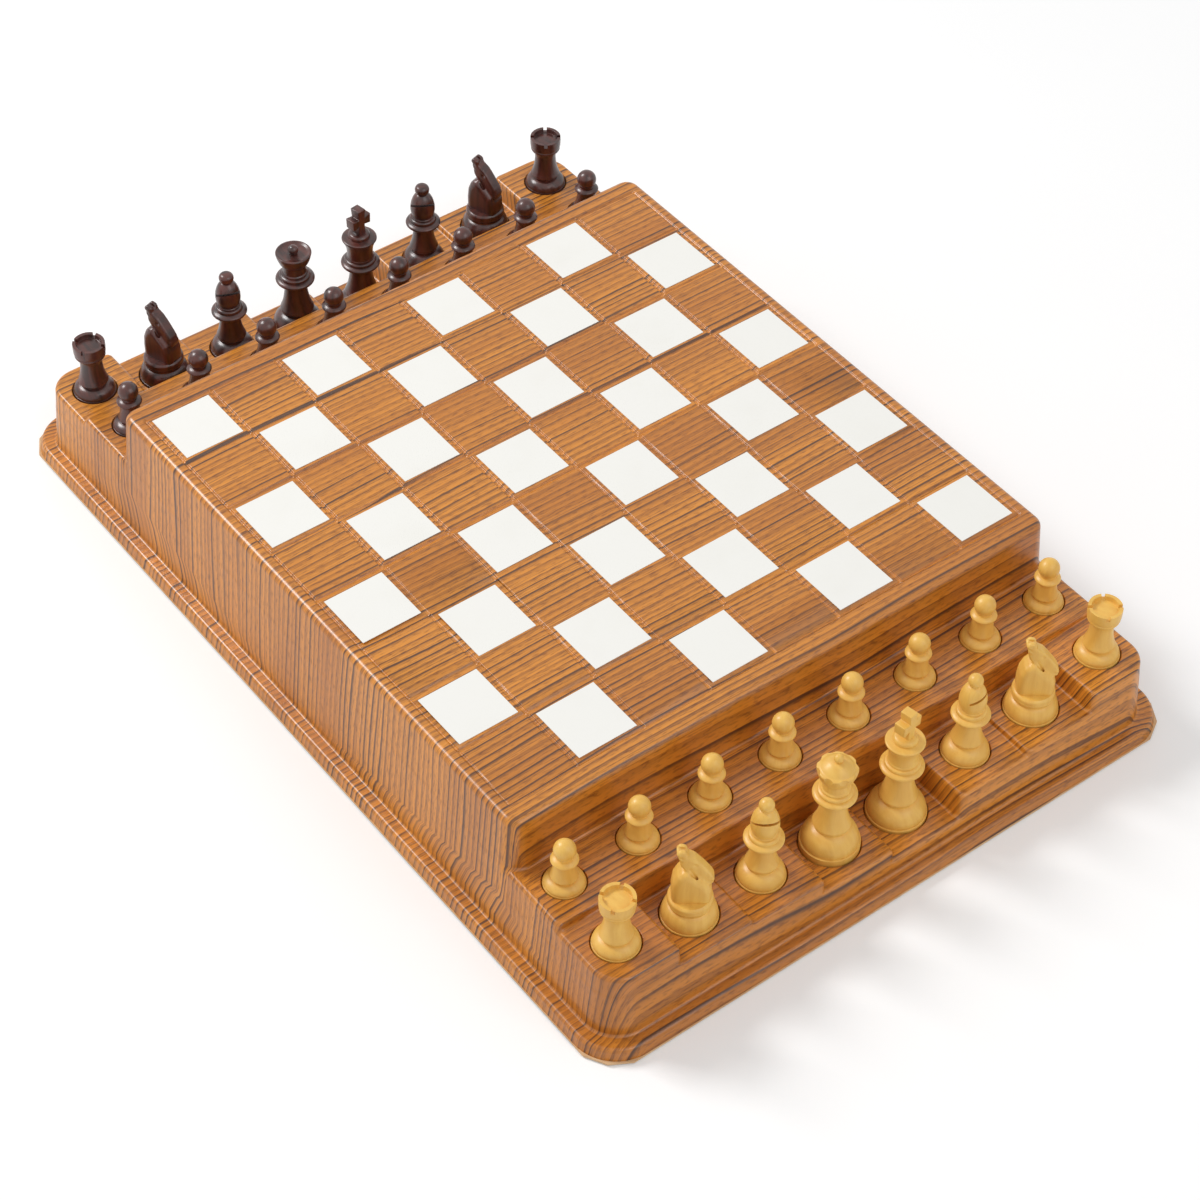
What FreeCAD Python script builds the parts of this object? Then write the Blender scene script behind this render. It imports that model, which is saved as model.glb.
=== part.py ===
import FreeCAD, Part
import math
import os

V = FreeCAD.Vector
UP = V(0, 0, 1)

# Playing field
FILES = 8
SQUARE_PITCH = 38.1
GROOVE_WIDTH = 2.8
GROOVE_FLOOR = 1.2
GROOVE_DEPTH = 0.8
TILE_SIZE = 32.4
TILE_THICKNESS = 0.3

# Formed shell
SHELL_WALL = 2.5
WALL_DRAFT_DEGREES = 5.2
BOARD_HEIGHT = 76.2
SKIRT_GAP = 0.8
FIELD_MARGIN_X = 6.5
FIELD_MARGIN_Y = 11.6
BLOCK_CORNER_RADIUS = 7.0
BLOCK_EDGE_RADIUS = 3.6
FLANGE_RISE = 7.0
FLANGE_WIDTH = 7.0
FLANGE_EDGE_RADIUS = 2.0
FLANGE_CORNER_RADIUS = 22.0
SKIRT_FLARE = 1.3
FOOT_COVE_RADIUS = 1.5
TRIM_LIP_THICKNESS = 1.0
TRIM_CUTS = 3

# Storage steps at the two ends
STATION_PITCH = 41.2
PAWN_SHELF_DEPTH = 34.7
PAD_ROW_DEPTH = 38.9
PAWN_WELL_SETBACK = 16.0
BACK_WELL_SETBACK = 18.9
PAWN_SHELF_DROP = 29.2
ROOK_PAD_DROP = 33.0
KNIGHT_PAD_DROP = 44.3
BISHOP_PAD_DROP = 47.2
QUEEN_PAD_DROP = 55.1
KING_PAD_DROP = 61.3
TRAY_CORNER_RADIUS = 14.6
STEP_CORNER_RADIUS = 3.2
STEP_EDGE_RADIUS = 2.2
WELL_DEPTH = 2.0
WELL_CLEARANCE = 0.4

# Chess pieces, sizes from the underside of each base
MAGNET_DIA = 9.0
MAGNET_HEIGHT = 3.0
MAGNET_CLEARANCE = 0.1
PLINTH_GROOVE = 0.5
RING_BEAD = 1.2
COLLAR_EDGE = 1.0
DOME_OUT = 0.7
DOME_UP = 0.58
STEM_IN = 0.55
STEM_UP = 0.45
FLARE_OUT = 0.39
FLARE_UP = 0.6

PAWN_BASE_DIA = 19.7
PAWN_PLINTH = 2.2
PAWN_RING_DIA = 12.9
PAWN_RING_LEVEL = 7.4
PAWN_WAIST_DIA = 9.6
PAWN_COLLAR_DIA = 12.8
PAWN_COLLAR_LEVEL = 18.0
PAWN_BALL_DIA = 10.4
PAWN_HEIGHT = 29.2

ROOK_BASE_DIA = 22.2
ROOK_PLINTH = 2.2
ROOK_RING_DIA = 15.6
ROOK_RING_LEVEL = 9.2
ROOK_WAIST_DIA = 11.2
ROOK_CROWN_DIA = 16.6
ROOK_CROWN_LEVEL = 25.6
ROOK_HEIGHT = 33.4
ROOK_CUP_DIA = 12.6
ROOK_CUP_DEPTH = 2.6
ROOK_SLOT_WIDTH = 2.2
ROOK_SLOTS = 4
ROOK_SLOT_TURN = 38.0

KNIGHT_BASE_DIA = 26.6
KNIGHT_PLINTH = 2.4
KNIGHT_RING_DIA = 21.0
KNIGHT_RING_LEVEL = 12.6
KNIGHT_NECK_DIA = 17.4
KNIGHT_NECK_WIDTH = 14.0
KNIGHT_NECK_HEIGHT = 38.2
KNIGHT_HEAD_WIDTH = 10.6
KNIGHT_HEIGHT = 51.5
KNIGHT_MUZZLE_REACH = 10.8
KNIGHT_EAR_GAP = 1.6
KNIGHT_FLANKS = ((-1.0, 0.66), (-0.72, 0.93), (0.0, 1.0), (0.72, 0.93), (1.0, 0.66))
WHITE_KNIGHT_TURN = -37.0
DARK_KNIGHT_TURN = -72.0

BISHOP_BASE_DIA = 23.4
BISHOP_PLINTH = 2.2
BISHOP_RING_DIA = 15.6
BISHOP_RING_LEVEL = 11.6
BISHOP_WAIST_DIA = 10.6
BISHOP_COLLAR_DIA = 18.8
BISHOP_COLLAR_LEVEL = 27.6
BISHOP_NECK_DIA = 10.8
BISHOP_MITRE_DIA = 13.2
BISHOP_MITRE_LEVEL = 38.5
BISHOP_BALL_DIA = 7.2
BISHOP_HEIGHT = 53.4
BISHOP_SLOT_WIDTH = 0.9
BISHOP_SLOT_TILT = 32.0

QUEEN_BASE_DIA = 28.6
QUEEN_PLINTH = 5.2
QUEEN_RING_DIA = 18.0
QUEEN_RING_LEVEL = 17.4
QUEEN_WAIST_DIA = 11.4
QUEEN_COLLAR_DIA = 20.8
QUEEN_COLLAR_LEVEL = 37.0
QUEEN_NECK_DIA = 12.4
QUEEN_CORONET_DIA = 19.2
QUEEN_CORONET_LEVEL = 54.0
QUEEN_CORONET_HEIGHT = 6.0
QUEEN_POINTS = 8
QUEEN_SCALLOP_DIA = 5.4
QUEEN_BALL_DIA = 5.8
QUEEN_HEIGHT = 65.4

KING_BASE_DIA = 29.1
KING_PLINTH = 3.2
KING_RING_DIA = 18.5
KING_RING_LEVEL = 14.5
KING_WAIST_DIA = 11.6
KING_COLLAR_DIA = 21.0
KING_COLLAR_LEVEL = 34.0
KING_NECK_DIA = 14.2
KING_CROWN_DIA = 18.8
KING_CROWN_LEVEL = 50.0
KING_CAP_DIA = 11.8
KING_CAP_HEIGHT = 3.4
KING_CROSS_WIDTH = 11.0
KING_CROSS_ARM = 4.4
KING_CROSS_THICKNESS = 6.0
KING_HEIGHT = 70.0
KING_CROSS_TURN = 10.0

# Base plate, feet and fixings
BASE_THICKNESS = 3.0
BASE_CLEARANCE = 0.5
FOOT_DIA = 16.0
FOOT_INSET = 26.0
FOOT_CROWN = 1.2
POST_SIZE = 16.0
POST_CHAMFER = 2.0
POST_OFFSET_SQUARES = 3
SHELF_BLOCK_LENGTH = 44.0
SHELF_BLOCK_WIDTH = 20.0
SHELF_BLOCK_OFFSET = 100.0
SCREW_SHANK_DIA = 3.5
SCREW_HEAD_DIA = 7.0
SCREW_LENGTH = 19.0
SCREW_CLEARANCE = 0.1

# Sensing board and main board
BOARD_THICKNESS = 1.6
SENSOR_BOARD_MARGIN = 1.5
REED_DIA = 2.2
REED_LENGTH = 14.0
MAIN_BOARD_X = 140.0
MAIN_BOARD_Y = 84.0
MAIN_BOARD_CENTRE_X = 32.0
MAIN_BOARD_CENTRE_Y = -56.0
SPACER_DIA = 8.0
SPACER_HEIGHT = 6.0
SPACER_INSET = 6.0
CHIP_WIDTH = 14.0
CHIP_HEIGHT = 4.0
CHIP_LENGTHS = (52.0, 32.0, 32.0, 20.0)
CHIP_SPACING = 20.0
CONNECTOR_DEPTH = 6.0
CONNECTOR_HEIGHT = 8.0
RIBBON_WIDTH = 44.0
RIBBON_THICKNESS = 1.0
RIBBON_BEND = 9.0
RIBBON_JOG = 24.0

# Loudspeaker
SPEAKER_CENTRE_X = 62.0
SPEAKER_CENTRE_Y = 66.0
SPEAKER_DIA = 70.0
SPEAKER_RIM_WIDTH = 5.0
SPEAKER_RIM_THICKNESS = 1.6
SPEAKER_DEPTH = 16.0
SPEAKER_WALL = 1.0
SPEAKER_MAGNET_DIA = 32.0
SPEAKER_MAGNET_HEIGHT = 9.0
SPEAKER_CONE_WALL = 0.8
SOUND_SLOTS = 7
SOUND_SLOT_WIDTH = 3.0
SOUND_SLOT_SPACING = 7.0

# Battery compartment, its sliding door and the power switch
CELL_DIA = 26.2
CELL_LENGTH = 50.0
CELL_TIP_DIA = 6.6
CELL_TIP_LENGTH = 1.6
CELL_ROWS = 2
CELLS_PER_ROW = 2
CELL_CLEARANCE = 0.6
CASE_WALL = 2.0
CASE_CENTRE_X = -55.0
CASE_CENTRE_Y = 50.0
CONTACT_THICKNESS = 0.8
DOOR_THICKNESS = 1.0
DOOR_OVERLAP = 4.0
DOOR_CLEARANCE = 0.2
RAIL_LIP = 2.4
RAIL_LIP_THICKNESS = 0.6
RAIL_WEB = 1.6
GRIP_RIBS = 5
GRIP_RIB_SPACING = 3.0
SWITCH_CENTRE_X = -88.0
SWITCH_CENTRE_Y = -62.0
SWITCH_LENGTH = 20.0
SWITCH_WIDTH = 9.0
SWITCH_HEIGHT = 8.0
SWITCH_WALL = 1.2
KNOB_LENGTH = 6.0
KNOB_WIDTH = 4.0
KNOB_REACH = 0.8
SWITCH_TRAVEL = 5.0
SWITCH_CLEARANCE = 0.3

# Sizes that follow from those above
SLOPE = math.tan(math.radians(WALL_DRAFT_DEGREES))
FIELD_HALF = FILES * SQUARE_PITCH / 2
TOP_Z = SKIRT_GAP + BOARD_HEIGHT
FLANGE_Z = SKIRT_GAP + FLANGE_RISE
PAWN_SHELF_Z = TOP_Z - PAWN_SHELF_DROP
WALL_X_AT_TOP = FIELD_HALF + FIELD_MARGIN_X
BLOCK_Y_AT_TOP = FIELD_HALF + FIELD_MARGIN_Y
BLOCK_FOOT_Y = BLOCK_Y_AT_TOP + SLOPE * PAWN_SHELF_DROP
SHELF_EDGE_Y = BLOCK_FOOT_Y + PAWN_SHELF_DEPTH
WALL_Y_AT_TOP = SHELF_EDGE_Y + PAD_ROW_DEPTH - SLOPE * PAWN_SHELF_DROP
BASE_TOP_Z = FLANGE_Z - SHELL_WALL
BASE_BOTTOM_Z = BASE_TOP_Z - BASE_THICKNESS
SENSOR_BOARD_TOP_Z = TOP_Z - SHELL_WALL
SENSOR_BOARD_Z = SENSOR_BOARD_TOP_Z - BOARD_THICKNESS
MAIN_BOARD_Z = BASE_TOP_Z + SPACER_HEIGHT
POST_OFFSET = POST_OFFSET_SQUARES * SQUARE_PITCH
CASE_INNER_X = CELLS_PER_ROW * (CELL_LENGTH + CELL_TIP_LENGTH) + 2 * CONTACT_THICKNESS
CASE_INNER_Y = CELL_ROWS * (CELL_DIA + CELL_CLEARANCE)
DOOR_X = CASE_INNER_X + 2 * DOOR_OVERLAP
DOOR_Y = CASE_INNER_Y + 2 * DOOR_OVERLAP
BACK_ROW = ("rook", "knight", "bishop", "queen", "king", "bishop", "knight", "rook")
PAD_DROPS = {
    "rook": ROOK_PAD_DROP,
    "knight": KNIGHT_PAD_DROP,
    "bishop": BISHOP_PAD_DROP,
    "queen": QUEEN_PAD_DROP,
    "king": KING_PAD_DROP,
    "pawn": PAWN_SHELF_DROP,
}
BASE_DIAS = {
    "rook": ROOK_BASE_DIA,
    "knight": KNIGHT_BASE_DIA,
    "bishop": BISHOP_BASE_DIA,
    "queen": QUEEN_BASE_DIA,
    "king": KING_BASE_DIA,
    "pawn": PAWN_BASE_DIA,
}


# Shared shapes

def rounded_outline(x0, x1, y0, y1, z, radii):
    """Closed outline with one radius for each corner, from the low corner round to the left."""
    corners = ((x0, y0), (x1, y0), (x1, y1), (x0, y1))
    steps = ((1, 0), (0, 1), (-1, 0), (0, -1))
    arcs = []
    for index, (x, y) in enumerate(corners):
        radius = radii[index]
        before = steps[index - 1]
        after = steps[index]
        start = V(x - before[0] * radius, y - before[1] * radius, z)
        end = V(x + after[0] * radius, y + after[1] * radius, z)
        inset = radius * (1 - math.sqrt(0.5))
        middle = V(x + (after[0] - before[0]) * inset, y + (after[1] - before[1]) * inset, z)
        arcs.append((start, middle, end))
    edges = []
    for index, (start, middle, end) in enumerate(arcs):
        following = arcs[(index + 1) % 4][0]
        edges.append(Part.Arc(start, middle, end).toShape())
        edges.append(Part.LineSegment(end, following).toShape())
    return Part.Wire(edges)


def plate(x0, x1, y0, y1, z0, z1, radius):
    """Flat plate with one corner radius."""
    outline = rounded_outline(x0, x1, y0, y1, z0, (radius,) * 4)
    return Part.Face(outline).extrude(V(0, 0, z1 - z0))


def box(x0, x1, y0, y1, z0, z1):
    """Box between two corners."""
    return Part.makeBox(x1 - x0, y1 - y0, z1 - z0, V(x0, y0, z0))


def disc(dia, z0, z1, x=0.0, y=0.0):
    """Upright cylinder."""
    return Part.makeCylinder(dia / 2, z1 - z0, V(x, y, z0), UP)


def turned(points):
    """Solid of revolution; a pair is a straight run and a group of four an arc through its first pair."""
    edges = []
    last = V(points[0][0], 0, points[0][1])
    for point in points[1:]:
        end = V(point[-2], 0, point[-1])
        if len(point) == 2:
            edges.append(Part.LineSegment(last, end).toShape())
        else:
            edges.append(Part.Arc(last, V(point[0], 0, point[1]), end).toShape())
        last = end
    edges.append(Part.LineSegment(last, V(points[0][0], 0, points[0][1])).toShape())
    return Part.Face(Part.Wire(edges)).revolve(V(0, 0, 0), UP, 360)


def between(first, second, share):
    """Size that lies a share of the way from the first to the second."""
    return first + share * (second - first)


def prism(points, thickness):
    """Outline in the XZ plane, given as points, made solid to both sides of that plane."""
    corners = [V(x, -thickness / 2, z) for x, z in points]
    return Part.Face(Part.makePolygon(corners + corners[:1])).extrude(V(0, thickness, 0))


def top_edges(shape, z):
    """Edges of a shape that lie flat at one level."""
    return [e for e in shape.Edges if abs(e.BoundBox.ZMin - z) < 1e-4 and abs(e.BoundBox.ZMax - z) < 1e-4]


# Formed shell

def wall_x(z, inset):
    """Half width of the shell's long walls at a level."""
    return WALL_X_AT_TOP + SLOPE * (TOP_Z - z) - inset


def wall_y(z, inset):
    """Half length of the shell's end walls at a level."""
    return WALL_Y_AT_TOP + SLOPE * (TOP_Z - z) - inset


def drafted(low, high, z0, z1, radii, edge_radius):
    """Drafted block between two rectangles with conical corners and rounded top edges."""
    growth = SLOPE * (z1 - z0)
    low_radii = [radius + growth for radius in radii]
    sections = [rounded_outline(*low, z0, low_radii), rounded_outline(*high, z1, radii)]
    solid = Part.makeLoft(sections, True, True)
    if edge_radius > 0:
        solid = solid.makeFillet(edge_radius, top_edges(solid, z1))
    return solid


def field_block(inset, floor_z):
    """Raised block that carries the playing field."""
    top = TOP_Z - inset
    spread = SLOPE * (top - floor_z)
    half_x = wall_x(top, inset)
    half_y = BLOCK_Y_AT_TOP + SLOPE * (TOP_Z - top) - inset
    high = (-half_x, half_x, -half_y, half_y)
    low = (-half_x - spread, half_x + spread, -half_y - spread, half_y + spread)
    radii = (BLOCK_CORNER_RADIUS,) * 4
    return drafted(low, high, floor_z, top, radii, 0 if inset else BLOCK_EDGE_RADIUS)


def pawn_shelf(inset, floor_z):
    """Step that carries both rows of pawns, running under the field block from end to end."""
    top = PAWN_SHELF_Z - inset
    spread = SLOPE * (top - floor_z)
    half_x = wall_x(top, inset)
    half_y = SHELF_EDGE_Y - inset
    high = (-half_x, half_x, -half_y, half_y)
    low = (-half_x - spread, half_x + spread, -half_y - spread, half_y + spread)
    radii = (STEP_CORNER_RADIUS,) * 4
    return drafted(low, high, floor_z, top, radii, 0 if inset else STEP_EDGE_RADIUS)


def back_pad(index, inset, floor_z):
    """Pad for one back-row piece, running on under any higher neighbour, at the end nearest the viewer."""
    drop = PAD_DROPS[BACK_ROW[index]]
    top = TOP_Z - drop - inset
    spread = SLOPE * (top - floor_z)
    bounds = []
    for side in (0, 1):
        outer = index == (0 if side == 0 else FILES - 1)
        sign = 1 if side else -1
        edge = (index + side - FILES / 2) * STATION_PITCH
        if outer:
            reach = sign * wall_x(top, inset)
        elif PAD_DROPS[BACK_ROW[index + sign]] < drop:
            reach = edge + sign * STATION_PITCH / 2
        else:
            reach = edge - sign * inset
        bounds.append(reach)
    outer_y = -wall_y(top, inset)
    high = (bounds[0], bounds[1], outer_y, -BLOCK_FOOT_Y)
    low = (bounds[0] - spread, bounds[1] + spread, outer_y - spread, -BLOCK_FOOT_Y)
    left = TRAY_CORNER_RADIUS if index == 0 else STEP_CORNER_RADIUS
    right = TRAY_CORNER_RADIUS if index == FILES - 1 else STEP_CORNER_RADIUS
    radii = (left, right, STEP_CORNER_RADIUS, STEP_CORNER_RADIUS)
    return drafted(low, high, floor_z, top, radii, 0 if inset else STEP_EDGE_RADIUS)


def flange(inset):
    """Rim plate with its drafted skirt."""
    top = FLANGE_Z - inset
    bottom = SKIRT_GAP if inset == 0 else 0.0
    half_x = wall_x(FLANGE_Z, 0) + FLANGE_WIDTH - inset
    half_y = wall_y(FLANGE_Z, 0) + FLANGE_WIDTH - inset
    high = (-half_x, half_x, -half_y, half_y)
    low = (-half_x - SKIRT_FLARE, half_x + SKIRT_FLARE, -half_y - SKIRT_FLARE, half_y + SKIRT_FLARE)
    radii = (FLANGE_CORNER_RADIUS - inset,) * 4
    return drafted(low, high, bottom, top, radii, 0 if inset else FLANGE_EDGE_RADIUS)


def trim_lip():
    """Straight saw cuts that leave flat facets round the skirt's corners."""
    half_x = wall_x(FLANGE_Z, 0) + FLANGE_WIDTH + SKIRT_FLARE
    half_y = wall_y(FLANGE_Z, 0) + FLANGE_WIDTH + SKIRT_FLARE
    step = math.pi / 2 / TRIM_CUTS
    reach = FLANGE_CORNER_RADIUS / math.cos(step / 2)
    points = []
    for quarter in range(4):
        turn = quarter * math.pi / 2
        centre_x = (half_x - FLANGE_CORNER_RADIUS) * (1 if quarter in (0, 3) else -1)
        centre_y = (half_y - FLANGE_CORNER_RADIUS) * (1 if quarter in (0, 1) else -1)
        for cut in range(TRIM_CUTS):
            angle = turn + (cut + 0.5) * step
            x = centre_x + reach * math.cos(angle)
            y = centre_y + reach * math.sin(angle)
            points.append(V(x, y, SKIRT_GAP))
    outline = Part.makePolygon(points + points[:1])
    return Part.Face(outline).extrude(V(0, 0, TRIM_LIP_THICKNESS))


def wall_foot(form):
    """Loop of edges where the walls meet the rim plate."""
    limit_x = wall_x(FLANGE_Z, 0) + FLANGE_WIDTH / 4
    limit_y = wall_y(FLANGE_Z, 0) + FLANGE_WIDTH / 4
    flat = top_edges(form, FLANGE_Z)
    return [e for e in flat if e.BoundBox.XMax < limit_x and e.BoundBox.XMin > -limit_x
            and e.BoundBox.YMax < limit_y and e.BoundBox.YMin > -limit_y]


def shell_form(inset):
    """Whole outer form, or with an inset the hollow that follows it inside."""
    floor_z = FLANGE_Z if inset == 0 else FLANGE_Z - inset - SHELL_WALL
    pads = [back_pad(index, inset, floor_z) for index in range(FILES)]
    pads += [pad.mirror(V(0, 0, 0), V(0, 1, 0)) for pad in pads]
    steps = field_block(inset, floor_z).multiFuse([pawn_shelf(inset, floor_z)] + pads)
    form = steps.fuse(flange(inset)).removeSplitter()
    return form if inset else form.makeFillet(FOOT_COVE_RADIUS, wall_foot(form))


def stations():
    """Every piece's name, kind, well centre and pad level."""
    places = []
    for colour, side in (("white", -1), ("dark", 1)):
        for index, kind in enumerate(BACK_ROW):
            x = (index + 0.5 - FILES / 2) * STATION_PITCH
            wing = "" if kind in ("queen", "king") else ("_left" if index < FILES / 2 else "_right")
            y = side * (SHELF_EDGE_Y + BACK_WELL_SETBACK)
            places.append((colour + "_" + kind + wing, kind, x, y, TOP_Z - PAD_DROPS[kind]))
        for index in range(FILES):
            x = (index + 0.5 - FILES / 2) * STATION_PITCH
            y = side * (BLOCK_FOOT_Y + PAWN_WELL_SETBACK)
            places.append((colour + "_pawn_" + str(index + 1), "pawn", x, y, PAWN_SHELF_Z))
    return places


def groove_cutters():
    """Shallow grooves that part the squares, along and across the field."""
    cutters = []
    half = FIELD_HALF + GROOVE_WIDTH / 2
    section = (
        V(-half, -GROOVE_WIDTH / 2, TOP_Z),
        V(-half, -GROOVE_FLOOR / 2, TOP_Z - GROOVE_DEPTH),
        V(-half, GROOVE_FLOOR / 2, TOP_Z - GROOVE_DEPTH),
        V(-half, GROOVE_WIDTH / 2, TOP_Z),
    )
    for line in range(FILES + 1):
        offset = line * SQUARE_PITCH - FIELD_HALF
        along = Part.Face(Part.makePolygon(section + section[:1])).extrude(V(2 * half, 0, 0))
        across = along.copy()
        across.rotate(V(0, 0, 0), UP, 90)
        along.translate(V(0, offset, 0))
        across.translate(V(offset, 0, 0))
        cutters += [along, across]
    return cutters


def top_shell():
    """Formed wood-grain shell with the field, the storage steps and their wells."""
    hollow = shell_form(SHELL_WALL)
    cups = []
    wells = []
    for _, kind, x, y, pad_z in stations():
        dia = BASE_DIAS[kind] + 2 * WELL_CLEARANCE
        floor = pad_z - WELL_DEPTH
        wells.append(disc(dia, floor, pad_z + SHELL_WALL, x, y))
        cups.append(disc(dia + 2 * SHELL_WALL, floor - SHELL_WALL, pad_z, x, y))
    outer = shell_form(0).fuse(trim_lip())
    return outer.cut(hollow.cut(cups)).cut(wells + groove_cutters())


def white_squares():
    """Thin pale tiles on the light squares."""
    tiles = []
    for file in range(FILES):
        for rank in range(FILES):
            if (file + rank) % 2 == 1:
                x = (file + 0.5) * SQUARE_PITCH - FIELD_HALF
                y = (rank + 0.5) * SQUARE_PITCH - FIELD_HALF
                half = TILE_SIZE / 2
                tiles.append(box(x - half, x + half, y - half, y + half, TOP_Z, TOP_Z + TILE_THICKNESS))
    return Part.makeCompound(tiles)


# Turned chess pieces

def foot_points(base_dia, plinth, ring_dia, ring_level, waist_dia, waist_level):
    """Profile from the axis over the plinth, the domed base and the ring to the waist of the stem."""
    base = base_dia / 2
    ring = ring_dia / 2
    waist = waist_dia / 2
    dome = base - PLINTH_GROOVE
    bulge = between(ring, dome, DOME_OUT)
    start = plinth + PLINTH_GROOVE / 2
    return [
        (0, 0),
        (base - PLINTH_GROOVE, 0),
        (base, PLINTH_GROOVE),
        (base, plinth - PLINTH_GROOVE),
        (base - PLINTH_GROOVE, plinth),
        (dome - PLINTH_GROOVE, start),
        (bulge, between(start, ring_level, DOME_UP), ring - PLINTH_GROOVE, ring_level),
        (ring, ring_level + RING_BEAD / 3),
        (ring, ring_level + RING_BEAD * 2 / 3),
        (ring - PLINTH_GROOVE, ring_level + RING_BEAD),
        (between(ring, waist, STEM_IN), between(ring_level, waist_level, STEM_UP), waist, waist_level),
    ]


def collar_points(waist_dia, collar_dia, level, neck_dia):
    """Collar disc over the waist, with a smaller ring on it, up to the neck."""
    collar = collar_dia / 2
    neck = neck_dia / 2
    ring = 0.45 * collar + 0.55 * neck
    return [
        (waist_dia / 2, level - COLLAR_EDGE),
        (collar - COLLAR_EDGE, level - COLLAR_EDGE / 2),
        (collar, level + 0.2 * COLLAR_EDGE),
        (collar, level + 0.8 * COLLAR_EDGE),
        (collar - COLLAR_EDGE, level + 1.5 * COLLAR_EDGE),
        (ring, level + 2 * COLLAR_EDGE),
        (ring + 0.4 * COLLAR_EDGE, level + 2.3 * COLLAR_EDGE),
        (ring + 0.4 * COLLAR_EDGE, level + 3 * COLLAR_EDGE),
        (ring, level + 3.4 * COLLAR_EDGE),
        (neck, level + 3.8 * COLLAR_EDGE),
    ]


def ball_points(dia, height):
    """Ball on the axis whose top is at the given height."""
    radius = dia / 2
    centre = height - radius
    low = radius * 0.6
    return [(low, centre - radius * 0.8), (radius, centre, 0, height)]


def with_magnet(body):
    """Piece with the magnet let into its base."""
    bore = disc(MAGNET_DIA + 2 * MAGNET_CLEARANCE, 0, MAGNET_HEIGHT + MAGNET_CLEARANCE)
    return Part.makeCompound([body.cut(bore), disc(MAGNET_DIA, 0, MAGNET_HEIGHT)])


def pawn():
    """Pawn with a ball head over one collar."""
    collar = PAWN_COLLAR_DIA / 2
    level = PAWN_COLLAR_LEVEL
    points = foot_points(
        PAWN_BASE_DIA, PAWN_PLINTH, PAWN_RING_DIA, PAWN_RING_LEVEL, PAWN_WAIST_DIA, level - COLLAR_EDGE
    )
    points += [
        (collar - COLLAR_EDGE, level - COLLAR_EDGE / 2),
        (collar, level + 0.2 * COLLAR_EDGE),
        (collar, level + 0.6 * COLLAR_EDGE),
        (collar - COLLAR_EDGE, level + 1.2 * COLLAR_EDGE),
    ]
    return turned(points + ball_points(PAWN_BALL_DIA, PAWN_HEIGHT))


def rook():
    """Rook with a cupped crown cut by four slots."""
    crown = ROOK_CROWN_DIA / 2
    level = ROOK_CROWN_LEVEL
    points = foot_points(
        ROOK_BASE_DIA, ROOK_PLINTH, ROOK_RING_DIA, ROOK_RING_LEVEL, ROOK_WAIST_DIA, level - 2 * COLLAR_EDGE
    )
    cup_z = ROOK_HEIGHT - ROOK_CUP_DEPTH
    cup = ROOK_CUP_DIA / 2
    points += [
        (crown - COLLAR_EDGE, level),
        (crown, level + COLLAR_EDGE),
        (crown, ROOK_HEIGHT),
        (cup, ROOK_HEIGHT),
        (cup, cup_z),
        (0, cup_z + COLLAR_EDGE / 2),
    ]
    body = turned(points)
    slots = []
    side = ROOK_SLOT_WIDTH / 2
    for index in range(ROOK_SLOTS):
        slot = box(0, crown + side, -side, side, cup_z + COLLAR_EDGE / 2, ROOK_HEIGHT + side)
        slot.rotate(V(0, 0, 0), UP, ROOK_SLOT_TURN + index * 360 / ROOK_SLOTS)
        slots.append(slot)
    return body.cut(slots)


def carved(points, width):
    """Rounded block with a smooth side outline, drawn in towards both of its faces."""
    middle_x = sum(x for x, _ in points) / len(points)
    middle_z = sum(z for _, z in points) / len(points)
    sections = []
    for place, size in KNIGHT_FLANKS:
        corners = []
        for x, z in points:
            corners.append(V(between(middle_x, x, size), place * width / 2, between(middle_z, z, size)))
        curve = Part.BSplineCurve()
        curve.interpolate(corners, PeriodicFlag=True)
        sections.append(Part.Wire([curve.toShape()]))
    return Part.makeLoft(sections, True)


def knight():
    """Knight with a thick arched neck and a carved head with two ears on a turned base, facing +X."""
    ring_top = KNIGHT_RING_LEVEL + RING_BEAD
    points = foot_points(
        KNIGHT_BASE_DIA, KNIGHT_PLINTH, KNIGHT_RING_DIA, KNIGHT_RING_LEVEL,
        KNIGHT_NECK_DIA, ring_top + COLLAR_EDGE
    )
    base = turned(points + [(0, ring_top + COLLAR_EDGE)])
    half = KNIGHT_NECK_DIA / 2
    top = KNIGHT_NECK_HEIGHT
    rise = top - ring_top
    neck = carved([
        (0.99 * half, ring_top),
        (half, ring_top + 0.52 * rise),
        (0.55 * half, ring_top + 0.76 * rise),
        (-0.20 * half, top),
        (-0.64 * half, top - 0.12 * rise),
        (-0.90 * half, ring_top + 0.62 * rise),
        (-0.94 * half, ring_top + 0.36 * rise),
        (-0.88 * half, ring_top),
        (0, ring_top - COLLAR_EDGE),
    ], KNIGHT_NECK_WIDTH)
    reach = KNIGHT_MUZZLE_REACH
    tall = KNIGHT_HEIGHT - top
    head = carved([
        (-0.39 * reach, KNIGHT_HEIGHT),
        (-0.02 * reach, top + 0.68 * tall),
        (0.40 * reach, top + 0.38 * tall),
        (0.72 * reach, top + 0.04 * tall),
        (0.98 * reach, top - 0.42 * tall),
        (0.94 * reach, top - 0.70 * tall),
        (0.64 * reach, top - 0.86 * tall),
        (0.32 * reach, top - 0.66 * tall),
        (-0.10 * reach, top - 0.30 * tall),
        (-0.42 * reach, top + 0.10 * tall),
        (-0.52 * reach, top + 0.50 * tall),
        (-0.57 * reach, top + 0.78 * tall),
    ], KNIGHT_HEAD_WIDTH)
    gap = KNIGHT_EAR_GAP / 2
    notch = box(-reach, 0, -gap, gap, KNIGHT_HEIGHT - 0.25 * tall, KNIGHT_HEIGHT + gap)
    return base.multiFuse([neck, head.cut(notch)])


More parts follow.
